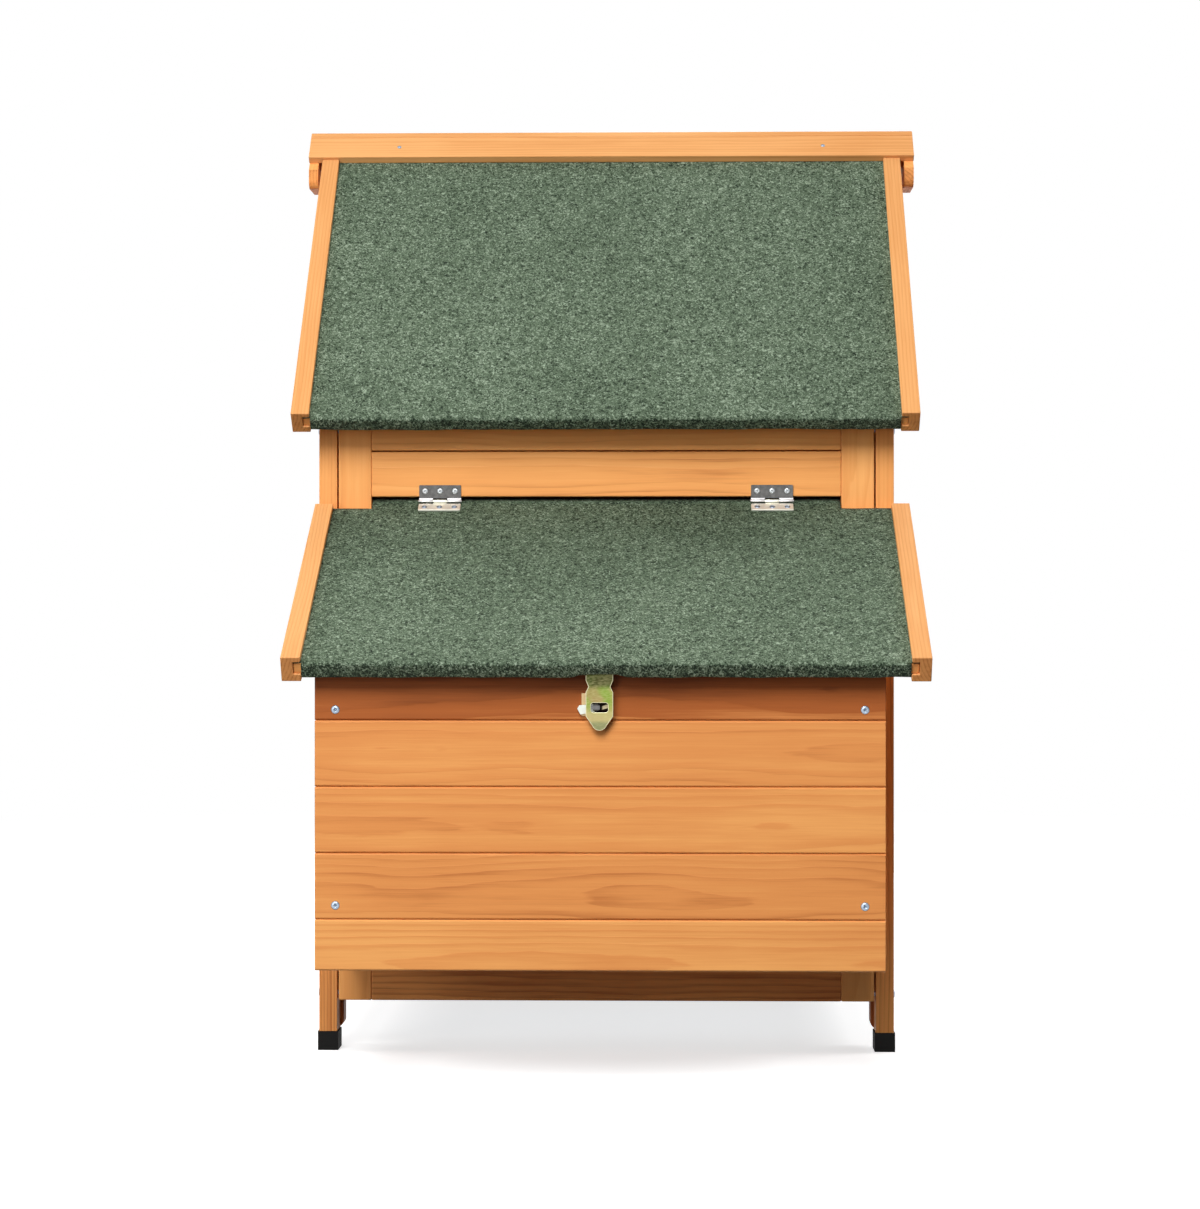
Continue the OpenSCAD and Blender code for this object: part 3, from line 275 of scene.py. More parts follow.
floor_paint = Paint("studio_floor")
node = floor_paint.node
white = node("ShaderNodeBsdfDiffuse", {}, {"Color": (floor_white,) * 3 + (1,)})
grey = node("ShaderNodeBsdfDiffuse", {}, {"Color": (floor_grey,) * 3 + (1,)})
lift = node("ShaderNodeEmission", {}, {"Color": (1, 1, 1, 1), "Strength": floor_lift})
glow = node("ShaderNodeEmission", {}, {"Color": (1, 1, 1, 1), "Strength": 1.0})
lit = node("ShaderNodeAddShader", {}, {0: white, 1: lift})
away = node("ShaderNodeVectorMath", {"operation": "LENGTH"}, {0: floor_paint.place()}).out("Value")
faded = node("ShaderNodeMixShader", {}, {"Fac": away.ramp(near_floor, far_floor), 1: lit, 2: glow})
ground = node("ShaderNodeMixShader", {}, {"Fac": seen_directly(floor_paint), 1: grey, 2: faded})
floor_paint.tree.links.new(ground.socket, floor_paint.tree.nodes["Material Output"].inputs["Surface"])

floor_mesh = bpy.data.meshes.new("studio_floor")
half = floor_size / 2
corners = [(-half, -half, 0), (half, -half, 0), (half, half, 0), (-half, half, 0)]
floor_mesh.from_pydata(corners, [], [(0, 1, 2, 3)])
floor_mesh.materials.append(floor_paint.material)
studio_floor = in_scene("studio_floor", floor_mesh)
studio_floor.location.z = -floor_drop
studio_floor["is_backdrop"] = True

sky = bpy.data.worlds.new("studio")
sky.use_nodes = True
bpy.context.scene.world = sky
sky_paint = Paint.__new__(Paint)
sky_paint.tree = sky.node_tree
background = sky.node_tree.nodes["Background"]
background.inputs["Color"].default_value = (1, 1, 1, 1)
sky_paint.put(background.inputs["Strength"], seen_directly(sky_paint) * (1 - sky_light) + sky_light)

# %% [markdown]
# The shadows of the picture tell where its lamp was. The rail under the eave lies half in shade and the
# hinge rail below it in full light, and the shade under the lid's edge is short and soft, so the lamp was
# as broad as a window and hung in front at some forty degrees, a little to the left. The ends of the
# roof rails, which look down, aren't dark either, so a weaker lamp stood low, far to the left. The other
# lamps stand behind the front and only light the sides and the run.

# %% Lamps
def lamp(name, place, aim, width, power):
    light = bpy.data.lights.new(name, "AREA")
    light.shape = "SQUARE"
    light.size = width
    light.energy = power
    holder = in_scene(name, light)
    holder.location = place
    holder.rotation_euler = (Vector(aim) - Vector(place)).to_track_quat("-Z", "Y").to_euler()


lamp("key_lamp", (-0.5, house_front - 2.75, 2.5), (0, house_front, 0.5), 1.8, 116)
lamp("low_lamp", (-2.2, house_front - 3.0, 0.7), (0, house_front, 0.5), 1.4, 28)
lamp("left_lamp", (-3.2, 0.3, 2.2), (0, 0, 0.4), 1.8, 60)
lamp("right_lamp", (3.2, 0.5, 2.4), (0, 0, 0.4), 1.8, 70)
lamp("rear_lamp", (0.6, 3.6, 2.6), (0, 0.3, 0.4), 1.8, 62)

# %% [markdown]
# Fir is a soft wood whose yearly rings show as bands: wide pale spring wood that ends in a narrow darker
# line. A ring is a tube round the tree's heart, so a colour that depends only on the distance from that
# heart gives straight lines on one face of a board, arches on another and arcs on its end, all from one
# rule. Each board gets its own place in the tree as an attribute, "grain", whose X runs along the board.
# A semi-opaque orange stain covers it: it hides half of the rings, soaks deeper into the end grain and
# lies thicker in some patches than in others. The picture also shows shade under the lid, on the bottom
# rail and low on the legs that these lamps don't give. A still deeper stain stands in for that shade, so
# it stays on the board when the lid is opened.

# %% Stained fir
ring_width = 0.0034
ring_sway = 0.010
knotless_share = 0.62


def fir(name, pale, mid, dark, dim=0.0):
    paint = Paint(name)
    grain = paint.attribute("grain", "Vector")
    tone_and_painted_shade = paint.attribute("tone_and_painted_shade")
    end = paint.attribute("end_grain")
    axes = paint.axes(grain)

    def drawn_out(along, across, detail=2.0, rough=0.5):
        """Noise that is stretched along the grain."""
        return paint.noise(paint.scaled(grain, (along, across, across)), 1.0, detail, rough)

    sway = drawn_out(4.0, 9.0, 1.0) - 0.5
    ripple = drawn_out(18.0, 120.0) - 0.5
    off_knot, pick = paint.cells(paint.scaled(grain, (3.1, 7.0, 2.0)), 1.0)
    chosen = pick > knotless_share
    knot = off_knot.ramp(0.042, 0.022) * chosen
    swirl = off_knot.ramp(0.16, 0.02) * chosen
    across = axes.out("Y") + sway * ring_sway
    deep = axes.out("Z") + sway * ring_sway
    radius = (across * across + deep * deep) ** 0.5
    ring = (radius * (1 / ring_width) + ripple * 0.5 + swirl * 2.0).fraction()
    late = ring.ramp(0.35, 0.93) * ring.ramp(1.0, 0.93)
    fibre = drawn_out(22.0, 900.0)
    streak = drawn_out(3.0, 160.0)
    patch = drawn_out(3.4, 8.0, 3.0, 0.6)
    depth = late * 0.22 + (fibre - 0.5) * 0.35 + (streak - 0.5) * 0.55 + (patch - 0.5) * 0.9
    depth = depth + tone_and_painted_shade * 0.34 + end * 0.42 + (0.30 + dim)
    shade = depth.ramp(0.0, 0.62)
    deeper = depth.ramp(0.55, 1.25)
    colour = paint.mix(shade, pale, mid)
    colour = paint.mix(deeper, colour, dark)
    # The darkest brown is reached mostly where shade is painted in, under the lid.
    colour = paint.mix(depth.ramp(1.2, 2.3), colour, ink(92, 40, 14))
    colour = paint.mix(knot * 0.75, colour, ink(104, 52, 24))
    height = fibre * 0.5 + late * 0.5 + (streak - 0.5) * 0.4
    paint.shade(Base_Color=colour, Roughness=0.46 + (fibre - 0.5) * 0.25 + end * 0.2,
                Specular_IOR_Level=0.16, Normal=paint.relief(height, 0.00025, 0.6))
    return paint.material


fir_rail = fir("fir_rail", ink(255, 186, 112), ink(243, 166, 94), ink(176, 98, 46))
fir_edge = fir("fir_edge", ink(240, 176, 112), ink(222, 153, 90), ink(168, 96, 48))
fir_board = fir("fir_board", ink(248, 176, 102), ink(231, 151, 84), ink(172, 94, 44), 0.05)
fir_inner = fir("fir_inner", ink(220, 140, 76), ink(190, 108, 54), ink(124, 60, 28), 0.1)
timber_looks = {"fir_rail": fir_rail, "fir_board": fir_board, "fir_inner": fir_inner}
edge_nodes = ("roof_rails", "ridge_cap_boards", "lid_rails")
print("timber in", len(timber_looks), "shades")

# %% [markdown]
# A sawn and stained strip never has a knife edge: sanding rounds it by about half a millimetre, and the
# round catches the light. Real rounds are cut into a copy of each solid, which then stands for it. The
# copy first loses the triangles that the solid arrived with. Each board is then measured: its longest
# edge gives the direction of its grain and its largest face tells which way it lies in the tree.

# %% Cut the round edges and lay out the grain
sharp_turn = math.radians(28)
least_edge = 0.004


def whole_faces(name):
    """A copy of a solid with its flat faces in one piece each."""
    shape = welded(name)
    bmesh.ops.dissolve_limit(shape, angle_limit=math.radians(0.6), verts=shape.verts, edges=shape.edges)
    return shape


def round_edges(shape, radius, steps=2, least=least_edge):
    sharp = [e for e in shape.edges if len(e.link_faces) == 2 and e.calc_length() > least
             and e.calc_face_angle(0) > sharp_turn]
    if sharp:
        bmesh.ops.bevel(shape, geom=sharp, offset=radius, segments=steps, profile=0.5,
                        affect="EDGES", clamp_overlap=True)


def separate_solids(shape):
    """The faces of each solid of a shape, as lists."""
    seen, solids = set(), []
    for first in shape.faces:
        if first in seen:
            continue
        seen.add(first)
        stack, solid = [first], []
        while stack:
            face = stack.pop()
            solid.append(face)
            for edge in face.edges:
                for other in edge.link_faces:
                    if other not in seen:
                        seen.add(other)
                        stack.append(other)
        solids.append(solid)
    return sorted(solids, key=lambda faces: min(rounded(face.calc_center_median()) for face in faces))


def rounded(vector, digits=5):
    return tuple(round(value, digits) + 0.0 for value in vector)


def board_axes(faces):
    """The directions along, across and through a board."""
    edges = [edge for face in faces for edge in face.edges]
    longest = max(edges, key=lambda e: (round(e.calc_length(), 4),
                                        rounded((e.verts[0].co + e.verts[1].co) / 2)))
    along = (longest.verts[1].co - longest.verts[0].co).normalized()
    if max(along, key=abs) < 0:
        along = -along
    sides = [face for face in faces if abs(face.normal.dot(along)) < 0.3]
    largest = max(sides, key=lambda f: (round(f.calc_area(), 6), rounded(f.calc_center_median())))
    through = largest.normal - along * largest.normal.dot(along)
    through.normalize()
    return along, along.cross(through), through


# Painted shade: how much deeper the colour is under the lid, on the bottom rail and low on the legs.
top_board_z, bottom_rail_z, wall_z = 0.35, 0.1, 0.66
under_lid_shade, under_lid_shade_rise, under_lid_shade_span = 2.6, 2.4, 0.04
bottom_rail_shade, rail_stain, leg_shade, lid_rail_stain = 1.9, 0.4, 0.9, -0.6


def shade_and_stain_of(name, spot, middle):
    """How much deeper a board's colour is at a spot than the mean: mostly painted shade under the lid, on the
    bottom rail and low on the legs, laid on as a deeper stain.
    """
    if name == "nest_front_boards" and middle.z > top_board_z:
        return under_lid_shade + under_lid_shade_rise * (spot.z - top_board_z) / under_lid_shade_span
    if name == "front_rails":
        return bottom_rail_shade if middle.z < bottom_rail_z else rail_stain
    if name in ("legs", "corner_posts"):
        return leg_shade * (1 - spot.z / wall_z)
    return lid_rail_stain if name == "lid_rails" else 0.0


def lay_grain(shape, luck, name):
    """Gives every board its own place in the tree, its tone with the painted shade added, and its end grain."""
    grain = shape.verts.layers.float_vector.new("grain")
    tone_and_painted_shade = shape.verts.layers.float.new("tone_and_painted_shade")
    end = shape.faces.layers.float.new("end_grain")
    for faces in separate_solids(shape):
        along, across, through = board_axes(faces)
        middle = sum((face.calc_center_median() for face in faces), Vector()) / len(faces)
        start = luck.uniform(0, 40)
        heart = Vector((0, luck.uniform(-0.03, 0.03), luck.choice((-1, 1)) * luck.uniform(0.02, 0.075)))
        shade = luck.uniform(-0.5, 0.5)
        for face in faces:
            face[end] = 1.0 if abs(face.normal.dot(along)) > 0.8 else 0.0
            for vert in face.verts:
                off = vert.co - middle
                vert[grain] = Vector((off.dot(along) + start, off.dot(across), off.dot(through))) + heart
                vert[tone_and_painted_shade] = shade + shade_and_stain_of(name, vert.co, middle)


def as_piece(shape, name, material, body, flat_area=2e-5):
    """Turns a shape into an object on its body. Small faces are shaded round and large ones flat."""
    for face in shape.faces:
        face.smooth = face.calc_area() < flat_area
    piece = in_scene(name, mesh_of(shape, name))
    piece.data.materials.append(material)
    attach(piece, body)
    return piece


usual_round, rail_round, board_round = 0.0007, 0.0012, 0.0018
edge_rounds = {"front_rails": rail_round, "front_stiles": rail_round}
edge_rounds.update({side + "_wall_boards": board_round for side in ("left", "right", "rear")})
slot_of = {entry["node"]: entry["material_slot"] for entry in frame["record"]["subparts"]}
luck = random.Random(7)
timber = [name for name in nodes if slot_of[name] in timber_looks]
for name in sorted(timber):
    shape = whole_faces(name)
    round_edges(shape, edge_rounds.get(name, usual_round))
    lay_grain(shape, luck, name)
    look = fir_edge if name in edge_nodes else timber_looks[slot_of[name]]
    piece = as_piece(shape, name + "_timber", look, body_of_node[name])
    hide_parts(name)
print(len(timber), "timber pieces cut")

# %% [markdown]
# Roofing felt is a bitumen sheet that crushed stone is rolled into. From a step away it is a grey green
# made of bright and dark grains of one to three millimetres, which run together into little worms. A
# noise that is bent by itself gives the worms, Voronoi cells give single grains, and a slow noise gives
# the faint clouds of a sheet that has been rolled up and walked on. The folds and the lid's band below the
# eave are coloured darker, again in place of shade that these lamps don't give.

# %% Look of mineral felt
def mineral_felt(name):
    paint = Paint(name)
    place = paint.place()
    _, pick = paint.cells(place, 560.0)
    worms = paint.node("ShaderNodeTexNoise", {}, {
        "Vector": place, "Scale": 330.0, "Detail": 2.0, "Roughness": 0.65, "Distortion": 1.6})
    dents = paint.noise(place, 90.0, 2.0, 0.6)
    cloud = paint.noise(place, 7.0, 3.0, 0.6)
    up = paint.axes(place).out("Z")
    fold = paint.attribute("fold")
    # Painted shade: the lid's band below the eave and the folds are darkened, and the folds' grit gets more
    # contrast.
    band = up.ramp(0.42, 0.56) * up.ramp(0.60, 0.57)
    grit = (worms - 0.5) * 4.3 + (pick - 0.5) * 0.6
    light = grit * (fold * 0.5 + 1) + (cloud - 0.5) * 0.45 + (dents - 0.5) * 0.5 + 0.5
    light = light - fold * 0.3 - band * 0.22
    base = paint.mix(light.ramp(-0.3, 0.55), ink(23, 35, 24), ink(90, 107, 85))
    base = paint.mix(light.ramp(0.55, 1.5), base, ink(162, 178, 156))
    paint.shade(Base_Color=base, Roughness=0.9, Specular_IOR_Level=0.25,
                Normal=paint.relief(worms * 0.8 + pick * 0.2, 0.0011, 0.9))
    return paint.material


felt_look = mineral_felt("green_mineral_felt")

# %% [markdown]
# The sheet itself lies on the boards, goes round their lower edge in a soft bend and is nailed beneath.
# It could be one thick box, but then its fold would be knife sharp. So a row of points runs down the
# slope and round the bend, each with the direction that faces outwards, and the rows are woven into a
# grid across the roof. The grid is lifted by a slow noise, since no felt lies quite flat, and a Solidify
# modifier gives it its two millimetres.

# %% Sheets that lie on a slope
mm = 0.001
slope_roof, slope_lid = math.radians(47), math.radians(29.1)
wall_top, ridge_in = 663.5 * mm, 247 * mm
felt_thick, bend = 2 * mm, 3.4 * mm
wave, crumple, bend_wave = 0.00035, 0.00015, 0.0008
hinge_line = Vector((0, house_front - 3 * mm, 550 * mm))


class Slope:
    """A tilted plane: down runs along it from its upper line and above stands square to it."""

    def __init__(self, y, z, angle, facing=-1):
        self.y, self.z, self.facing = y, z, facing
        self.cos, self.sin = math.cos(angle), math.sin(angle)

    def point(self, x, down, above):
        forward = down * self.cos + above * self.sin
        return Vector((x, self.y + self.facing * forward, self.z - down * self.sin + above * self.cos))


apex = wall_top + ridge_in * math.tan(slope_roof)
roof_front = Slope(house_front + ridge_in, apex, slope_roof)
roof_rear = Slope(house_front + ridge_in, apex, slope_roof, 1)
lid_slope = Slope(hinge_line.y, hinge_line.z, slope_lid)


def face_out(shape):
    """Turns every face outwards."""
    bmesh.ops.recalc_face_normals(shape, faces=shape.faces)


def fold_rows(start, edge, top, bottom, back, step=6 * mm):
    """Points down the outside of a folded sheet, each with its outward direction."""
    count = max(2, round((edge - bend - start) / step))
    rows = [(start + (edge - bend - start) * i / count, top, 0.0, 1.0) for i in range(count)]
    for middle_above, first, last in ((top - bend, 90, 0), (bottom + bend, 0, -90)):
        for turn in np.linspace(math.radians(first), math.radians(last), 7):
            rows.append((edge - bend + bend * math.cos(turn), middle_above + bend * math.sin(turn),
                         math.cos(turn), math.sin(turn)))
    rows += [(edge - bend + (back - edge + bend) * i / 3, bottom, 0.0, -1.0) for i in (1, 2, 3)]
    return rows


def felt_sheet(name, slope, rows, width_at, sag_at, step=7 * mm):
    """Weaves the rows into a sheet. width_at gives the two ends of a row across the slope, and sag_at how
    far the fold sags at a place across it."""
    shape = bmesh.new()
    fold = shape.verts.layers.float.new("fold")
    breaks = sorted({end for row in rows for end in width_at(row)})
    across = []
    for low, high in zip(breaks, breaks[1:]):
        count = max(1, round((high - low) / step))
        across += [low + (high - low) * i / count for i in range(count)]
    across.append(breaks[-1])
    grid, run = [], 0.0
    for index, row in enumerate(rows):
        down, above, out_down, out_above = row
        if index:
            run += math.dist(rows[index - 1][:2], row[:2])
        line = []
        for x in across:
            lift = wave * noise.noise((x * 7, run * 7, slope.z))
            lift += crumple * noise.noise((x * 50, run * 50, 3))
            if out_above > 0.99:
                lift -= wave
            else:
                lift = lift * 2 - bend_wave + bend_wave * noise.noise((x * 30, run * 30, slope.y))
            sag = sag_at(x) if out_above < -0.01 and row is not rows[-1] else 0.0
            spot = slope.point(x, down + out_down * lift, above + out_above * lift - sag)
            line.append(shape.verts.new(spot))
            line[-1][fold] = min(1.0, 1 - out_above)
        grid.append(line)
    for i in range(len(rows) - 1):
        low = max(width_at(rows[i])[0], width_at(rows[i + 1])[0])
        high = min(width_at(rows[i])[1], width_at(rows[i + 1])[1])
        for j in range(len(across) - 1):
            if across[j] > low - 1e-6 and across[j + 1] < high + 1e-6:
                shape.faces.new((grid[i][j], grid[i][j + 1], grid[i + 1][j + 1], grid[i + 1][j]))
    bmesh.ops.delete(shape, geom=[v for v in shape.verts if not v.link_faces], context="VERTS")
    face_out(shape)
    outward = slope.point(0, 0, 1) - slope.point(0, 0, 0)
    if shape.faces[:][0].normal.dot(outward) < 0:
        bmesh.ops.reverse_faces(shape, faces=shape.faces)
    sheet = in_scene(name, mesh_of(shape, name))
    thick = sheet.modifiers.new("thickness", "SOLIDIFY")
    thick.thickness, thick.offset = felt_thick, -1
    sheet.data = bpy.data.meshes.new_from_object(sheet.evaluated_get(bpy.context.evaluated_depsgraph_get()))
    sheet.modifiers.clear()
    for polygon in sheet.data.polygons:
        polygon.use_smooth = True
    sheet.data.materials.append(felt_look)
    return sheet


roof_panel, roof_wrap, eave_down = 298.5 * mm, 291.5 * mm, 420.2 * mm
roof_rows = fold_rows(2 * mm, eave_down, 12 * mm, -2 * mm, eave_down - 19 * mm)


def across_roof(row):
    half_width = roof_panel if row[3] > 0.999 else roof_wrap
    return (-half_width, half_width)


lid_tab, lid_upper, lid_lower, tab_half = 11.7 * mm, 10 * mm, 316.7 * mm, 234 * mm
lid_panel, lid_wrap = (-278.7 * mm, 290.7 * mm), (-271.5 * mm, 283.5 * mm)
lid_rows = [(down, -3 * mm, 0.0, 1.0) for down in (-lid_tab, -lid_tab / 3, lid_tab / 3)]
lid_rows += fold_rows(lid_upper, lid_lower + 0.8 * mm, -3 * mm, -17 * mm, lid_lower - 10 * mm)


def across_lid(row):
    if row[0] < lid_upper - 1e-6:
        return (-tab_half, tab_half)
    return lid_panel if row[3] > 0.999 else lid_wrap


roof_drop, lid_drop, held_up, slack = 3.5 * mm, 3 * mm, 16 * mm, 10 * mm


def roof_sag(x):
    """The roof's folds sag alike all along the eave."""
    return roof_drop


def lid_sag(x):
    """The nails on both sides of the hasp hold the fold up there, so that the strap swings free."""
    low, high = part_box("hasp_strap")
    away = abs(x - (low.x + high.x) / 2) - held_up
    return lid_drop * min(1.0, max(0.0, away / slack))


felts = (("roof_felt_front", roof_front, roof_rows, across_roof, roof_sag),
         ("roof_felt_rear", roof_rear, roof_rows, across_roof, roof_sag),
         ("lid_felt", lid_slope, lid_rows, across_lid, lid_sag))
for node, slope, rows, width_at, sag_at in felts:
    sheet = felt_sheet(node + "_sheet", slope, rows, width_at, sag_at)
    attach(sheet, body_of_node[node])
    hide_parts(node)
    print(sheet.name, len(sheet.data.polygons), "faces")

# %% [markdown]
# The metal parts are steel with three platings. Bright zinc is silver, yellow zinc shimmers from straw
# through green to pink because its film is as thin as the light's own waves, and hot-dip galvanising is
# dull with faint crystals. All three are pure metal to the shader, and only colour and roughness change.
# The upper hinge leaves are duller than the lower ones, as if they came from another bath.

# %% Platings and rubber
def metal(name, colour, rough, mottle=0.08):
    paint = Paint(name)
    place = paint.place()
    smear = paint.noise(place, 300.0, 3.0)
    shade = paint.mix((smear - 0.5) * mottle * 4 + 0.5, [v * 0.82 for v in colour[:3]] + [1], colour)
    paint.shade(Base_Color=shade, Metallic=1.0, Roughness=smear * mottle * 2 + rough)
    return paint.material


def yellow_zinc(name):
    """Straw and green with a pink blush. By height, the hasp's top is darkened as painted shade under the felt's
    fold, its lower part is painted pale and its tip grey.
    """
    paint = Paint(name)
    place = paint.place()
    height = paint.axes(place).out("Z")
    film = paint.noise(place, 75.0, 1.0)
    blush = paint.noise(paint.scaled(place, (1.0, 1.0, 1.4)), 60.0, 1.0)
    brushed = paint.noise(paint.scaled(place, (1.0, 1.0, 3.0)), 260.0, 2.0)
    colour = paint.mix(film.ramp(0.40, 0.62), ink(152, 148, 84), ink(124, 148, 60))
    colour = paint.mix(blush.ramp(0.52, 0.70) * 0.6, colour, ink(160, 124, 92))
    # Painted by height: the hasp's lower part paler, its tip grey, and its top dark green as painted shade under
    # the felt's fold.
    colour = paint.mix(height.ramp(0.353, 0.345) * 0.8, colour, ink(178, 164, 114))
    colour = paint.mix(height.ramp(0.341, 0.337) * 0.8, colour, ink(108, 116, 84))
    colour = paint.mix(height.ramp(0.367, 0.374) * 0.9, colour, ink(60, 66, 36))
    colour = paint.mix((brushed - 0.5) * 0.8 + 0.12, colour, ink(200, 194, 140))
    paint.shade(Base_Color=colour, Metallic=1.0, Roughness=0.36)
    return paint.material


def plate_zinc(name, slot_x, slot_z):
    """Yellow zinc with the shade of a slot painted on, but for a pale streak near the slot's end."""
    paint = Paint(name)
    axes = paint.axes(paint.place())
    across, up = axes.out("X") - slot_x, axes.out("Z") - slot_z

    def near(offset, reach):
        return offset.maths("ABSOLUTE", offset).ramp(reach + 0.8 * mm, reach)

    pale_streak = across.ramp(1.5 * mm, 3.5 * mm) * near(up - (across - 4 * mm) * 0.3, 1.2 * mm)
    # Painted shade: the plate is dark where the strap's slot shows it.
    colour = paint.mix(near(across, 9 * mm) * near(up, 6 * mm), ink(186, 160, 120), ink(22, 16, 12))
    paint.shade(Base_Color=paint.mix(pale_streak * 0.8, colour, ink(214, 200, 164)), Metallic=1.0, Roughness=0.5)
    return paint.material


def rubber(name):
    paint = Paint(name)
    place = paint.place()
    fine = paint.noise(place, 900.0, 2.0)
    paint.shade(Base_Color=ink(12, 12, 11), Roughness=fine * 0.2 + 0.6, Specular_IOR_Level=0.15,
                Normal=paint.relief(fine, 0.0001, 0.4))
    return paint.material


bright_zinc = metal("bright_zinc", ink(222, 220, 220), 0.34)
# A paler plating for the strap's rim, which stands as a painted highlight.
rim_highlight = metal("rim_highlight", ink(206, 200, 164), 0.34)
dull_zinc = metal("dull_zinc", ink(112, 111, 110), 0.46, 0.3)
screw_zinc = metal("screw_zinc", ink(150, 164, 180), 0.30)
hinge_screw_zinc = metal("hinge_screw_zinc", ink(184, 188, 190), 0.30)
cream_zinc = metal("cream_zinc", ink(250, 248, 236), 0.5)
lever_zinc = metal("lever_zinc", ink(206, 210, 200), 0.36)
galvanised = metal("galvanised", ink(132, 137, 142), 0.42, 0.16)
gold_zinc = yellow_zinc("yellow_zinc")
black_rubber = rubber("boot_rubber")

# %% [markdown]
# A screw head is turned, so it is made as on a lathe: a profile of radius and height goes round the axis.
# The cross recess is then really cut, with a small tapered cross and a Boolean, once for each size of
# head. The finished head is copied to every place, each time turned by its own amount, because no
# screwdriver stops twice at the same angle.

# %% Turned shapes, screws and nails
def circle(sides):
    """The corners of a round with a radius of one."""
    turns = [2 * math.pi * k / sides for k in range(sides)]
    return [(math.cos(turn), math.sin(turn)) for turn in turns]


def join_rings(shape, first, second):
    """A band of four-cornered faces between two rings."""
    for i in range(len(first)):
        j = (i + 1) % len(first)
        shape.faces.new((first[i], first[j], second[j], second[i]))


def turned(profile, steps=28, closed=False):
    """Turns (radius, height) points about Z. A closed profile makes a ring or a tube."""
    shape = bmesh.new()
    rings = []
    for radius, height in profile:
        count = 1 if radius < 1e-7 else steps
        rings.append([shape.verts.new((radius * c, radius * s, height)) for c, s in circle(steps)[:count]])
    pairs = list(zip(rings, rings[1:])) + ([(rings[-1], rings[0])] if closed else [])
    for a, b in pairs:
        for i in range(steps):
            j = (i + 1) % steps
            corners = [a[i % len(a)], b[i % len(b)], b[j % len(b)], a[j % len(a)]]
            shape.faces.new(list(dict.fromkeys(corners)))
    face_out(shape)
    return shape


def carved(shape, tool):
    """The first shape with the second cut out of it."""
    body, cutter = (in_scene("carving", mesh_of(part, "carving")) for part in (shape, tool))
    cut = body.modifiers.new("cut", "BOOLEAN")
    cut.object, cut.operation, cut.solver = cutter, "DIFFERENCE", "EXACT"
    result = bpy.data.meshes.new_from_object(body.evaluated_get(bpy.context.evaluated_depsgraph_get()))
    bpy.data.objects.remove(body)
    bpy.data.objects.remove(cutter)
    return result


def cross_cutter(arm, half_width, top, depth):
    """A cross that narrows downwards, as the tip of a screwdriver does."""
    shape = bmesh.new()
    rings = []
    for reach, height in ((arm, top), (arm * 0.55, top - depth)):
        quarter = [(half_width, half_width), (reach, half_width), (reach, -half_width)]
        outline = [(x * c + y * s, -x * s + y * c)
                   for c, s in ((1, 0), (0, 1), (-1, 0), (0, -1)) for x, y in quarter]
        rings.append([shape.verts.new((x, y, height)) for x, y in outline])
    shape.faces.new(rings[0])
    shape.faces.new(rings[1])
    join_rings(shape, *rings)
    face_out(shape)
    return shape


def cross_screw(radius, rise, shank, length):
    """A domed cross-head screw: its seat at height 0, its head above and its shank below."""
    dome = [(0, 1), (0.4, 0.97), (0.7, 0.82), (0.9, 0.5), (1, 0.16), (1, 0)]
    profile = [(x * radius, z * rise) for x, z in dome]
    profile += [(shank, 0), (shank, 2 * shank - length), (0, -length)]
    cutter = cross_cutter(0.62 * radius, 0.15 * radius, 2 * rise, 1.7 * rise)
    return carved(turned(profile), cutter)


def set_in(shape, template, place):
    """Adds a copy of a template mesh to a shape at a place."""
    verts, faces = len(shape.verts), len(shape.faces)
    shape.from_mesh(template)
    shape.verts.ensure_lookup_table()
    shape.faces.ensure_lookup_table()
    bmesh.ops.transform(shape, matrix=place, verts=shape.verts[verts:])
    if place.determinant() < 0:
        bmesh.ops.reverse_faces(shape, faces=shape.faces[faces:])


def facing(direction, spot, turn=0.0):
    """A place whose Z points in a direction, turned about it."""
    return Matrix.Translation(spot) @ Vector(direction).to_track_quat("Z", "Y").to_matrix().to_4x4() \
        @ Matrix.Rotation(turn, 4, "Z")


def fastener_sites(name):
    """The seat of each head in a node, the way it faces, and the head's radius."""
    shape, sites = welded(name), []
    for faces in separate_solids(shape):
        points = np.array([vert.co for vert in dict.fromkeys(v for face in faces for v in face.verts)])
        middle = points.mean(axis=0)
        axis = np.linalg.svd(points - middle)[2][0]
        along = (points - middle) @ axis
        off = np.linalg.norm(points - middle - np.outer(along, axis), axis=1)
        head = off > off.max() - 2e-4
        if along[head].mean() < 0:
            axis, along = -axis, -along
        seat = middle + axis * along[head].min()
        sites.append((Vector(seat), Vector(axis), float(off.max())))
    shape.free()
    return sites


dial = random.Random(11)
nest_head = cross_screw(4.0 * mm, 1.4 * mm, 1.7 * mm, 26 * mm)
frame_head = cross_screw(4.6 * mm, 1.6 * mm, 2.5 * mm, 39 * mm)
small_head = cross_screw(2.9 * mm, 0.9 * mm, 1.3 * mm, 13 * mm)
nail = [(0, 0.9), (1.2, 0.8), (2.0, 0.45), (2.2, 0), (1.1, 0), (1.1, -17), (0, -19.5)]
nail_head = mesh_of(turned([(x * mm, z * mm) for x, z in nail], 20), "nail")
widest_nest_head = 4.1 * mm

for name, heads in (("frame_screws", (nest_head, frame_head)), ("cap_nails", (nail_head, nail_head))):
    shape = bmesh.new()
    for seat, way, radius in fastener_sites(name):
        set_in(shape, heads[radius > widest_nest_head], facing(way, seat, dial.uniform(0, math.pi)))
    piece = as_piece(shape, name + "_turned", screw_zinc, body_of_node[name], 1e-5)
    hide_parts(name)
    print(piece.name, len(piece.data.polygons), "faces")

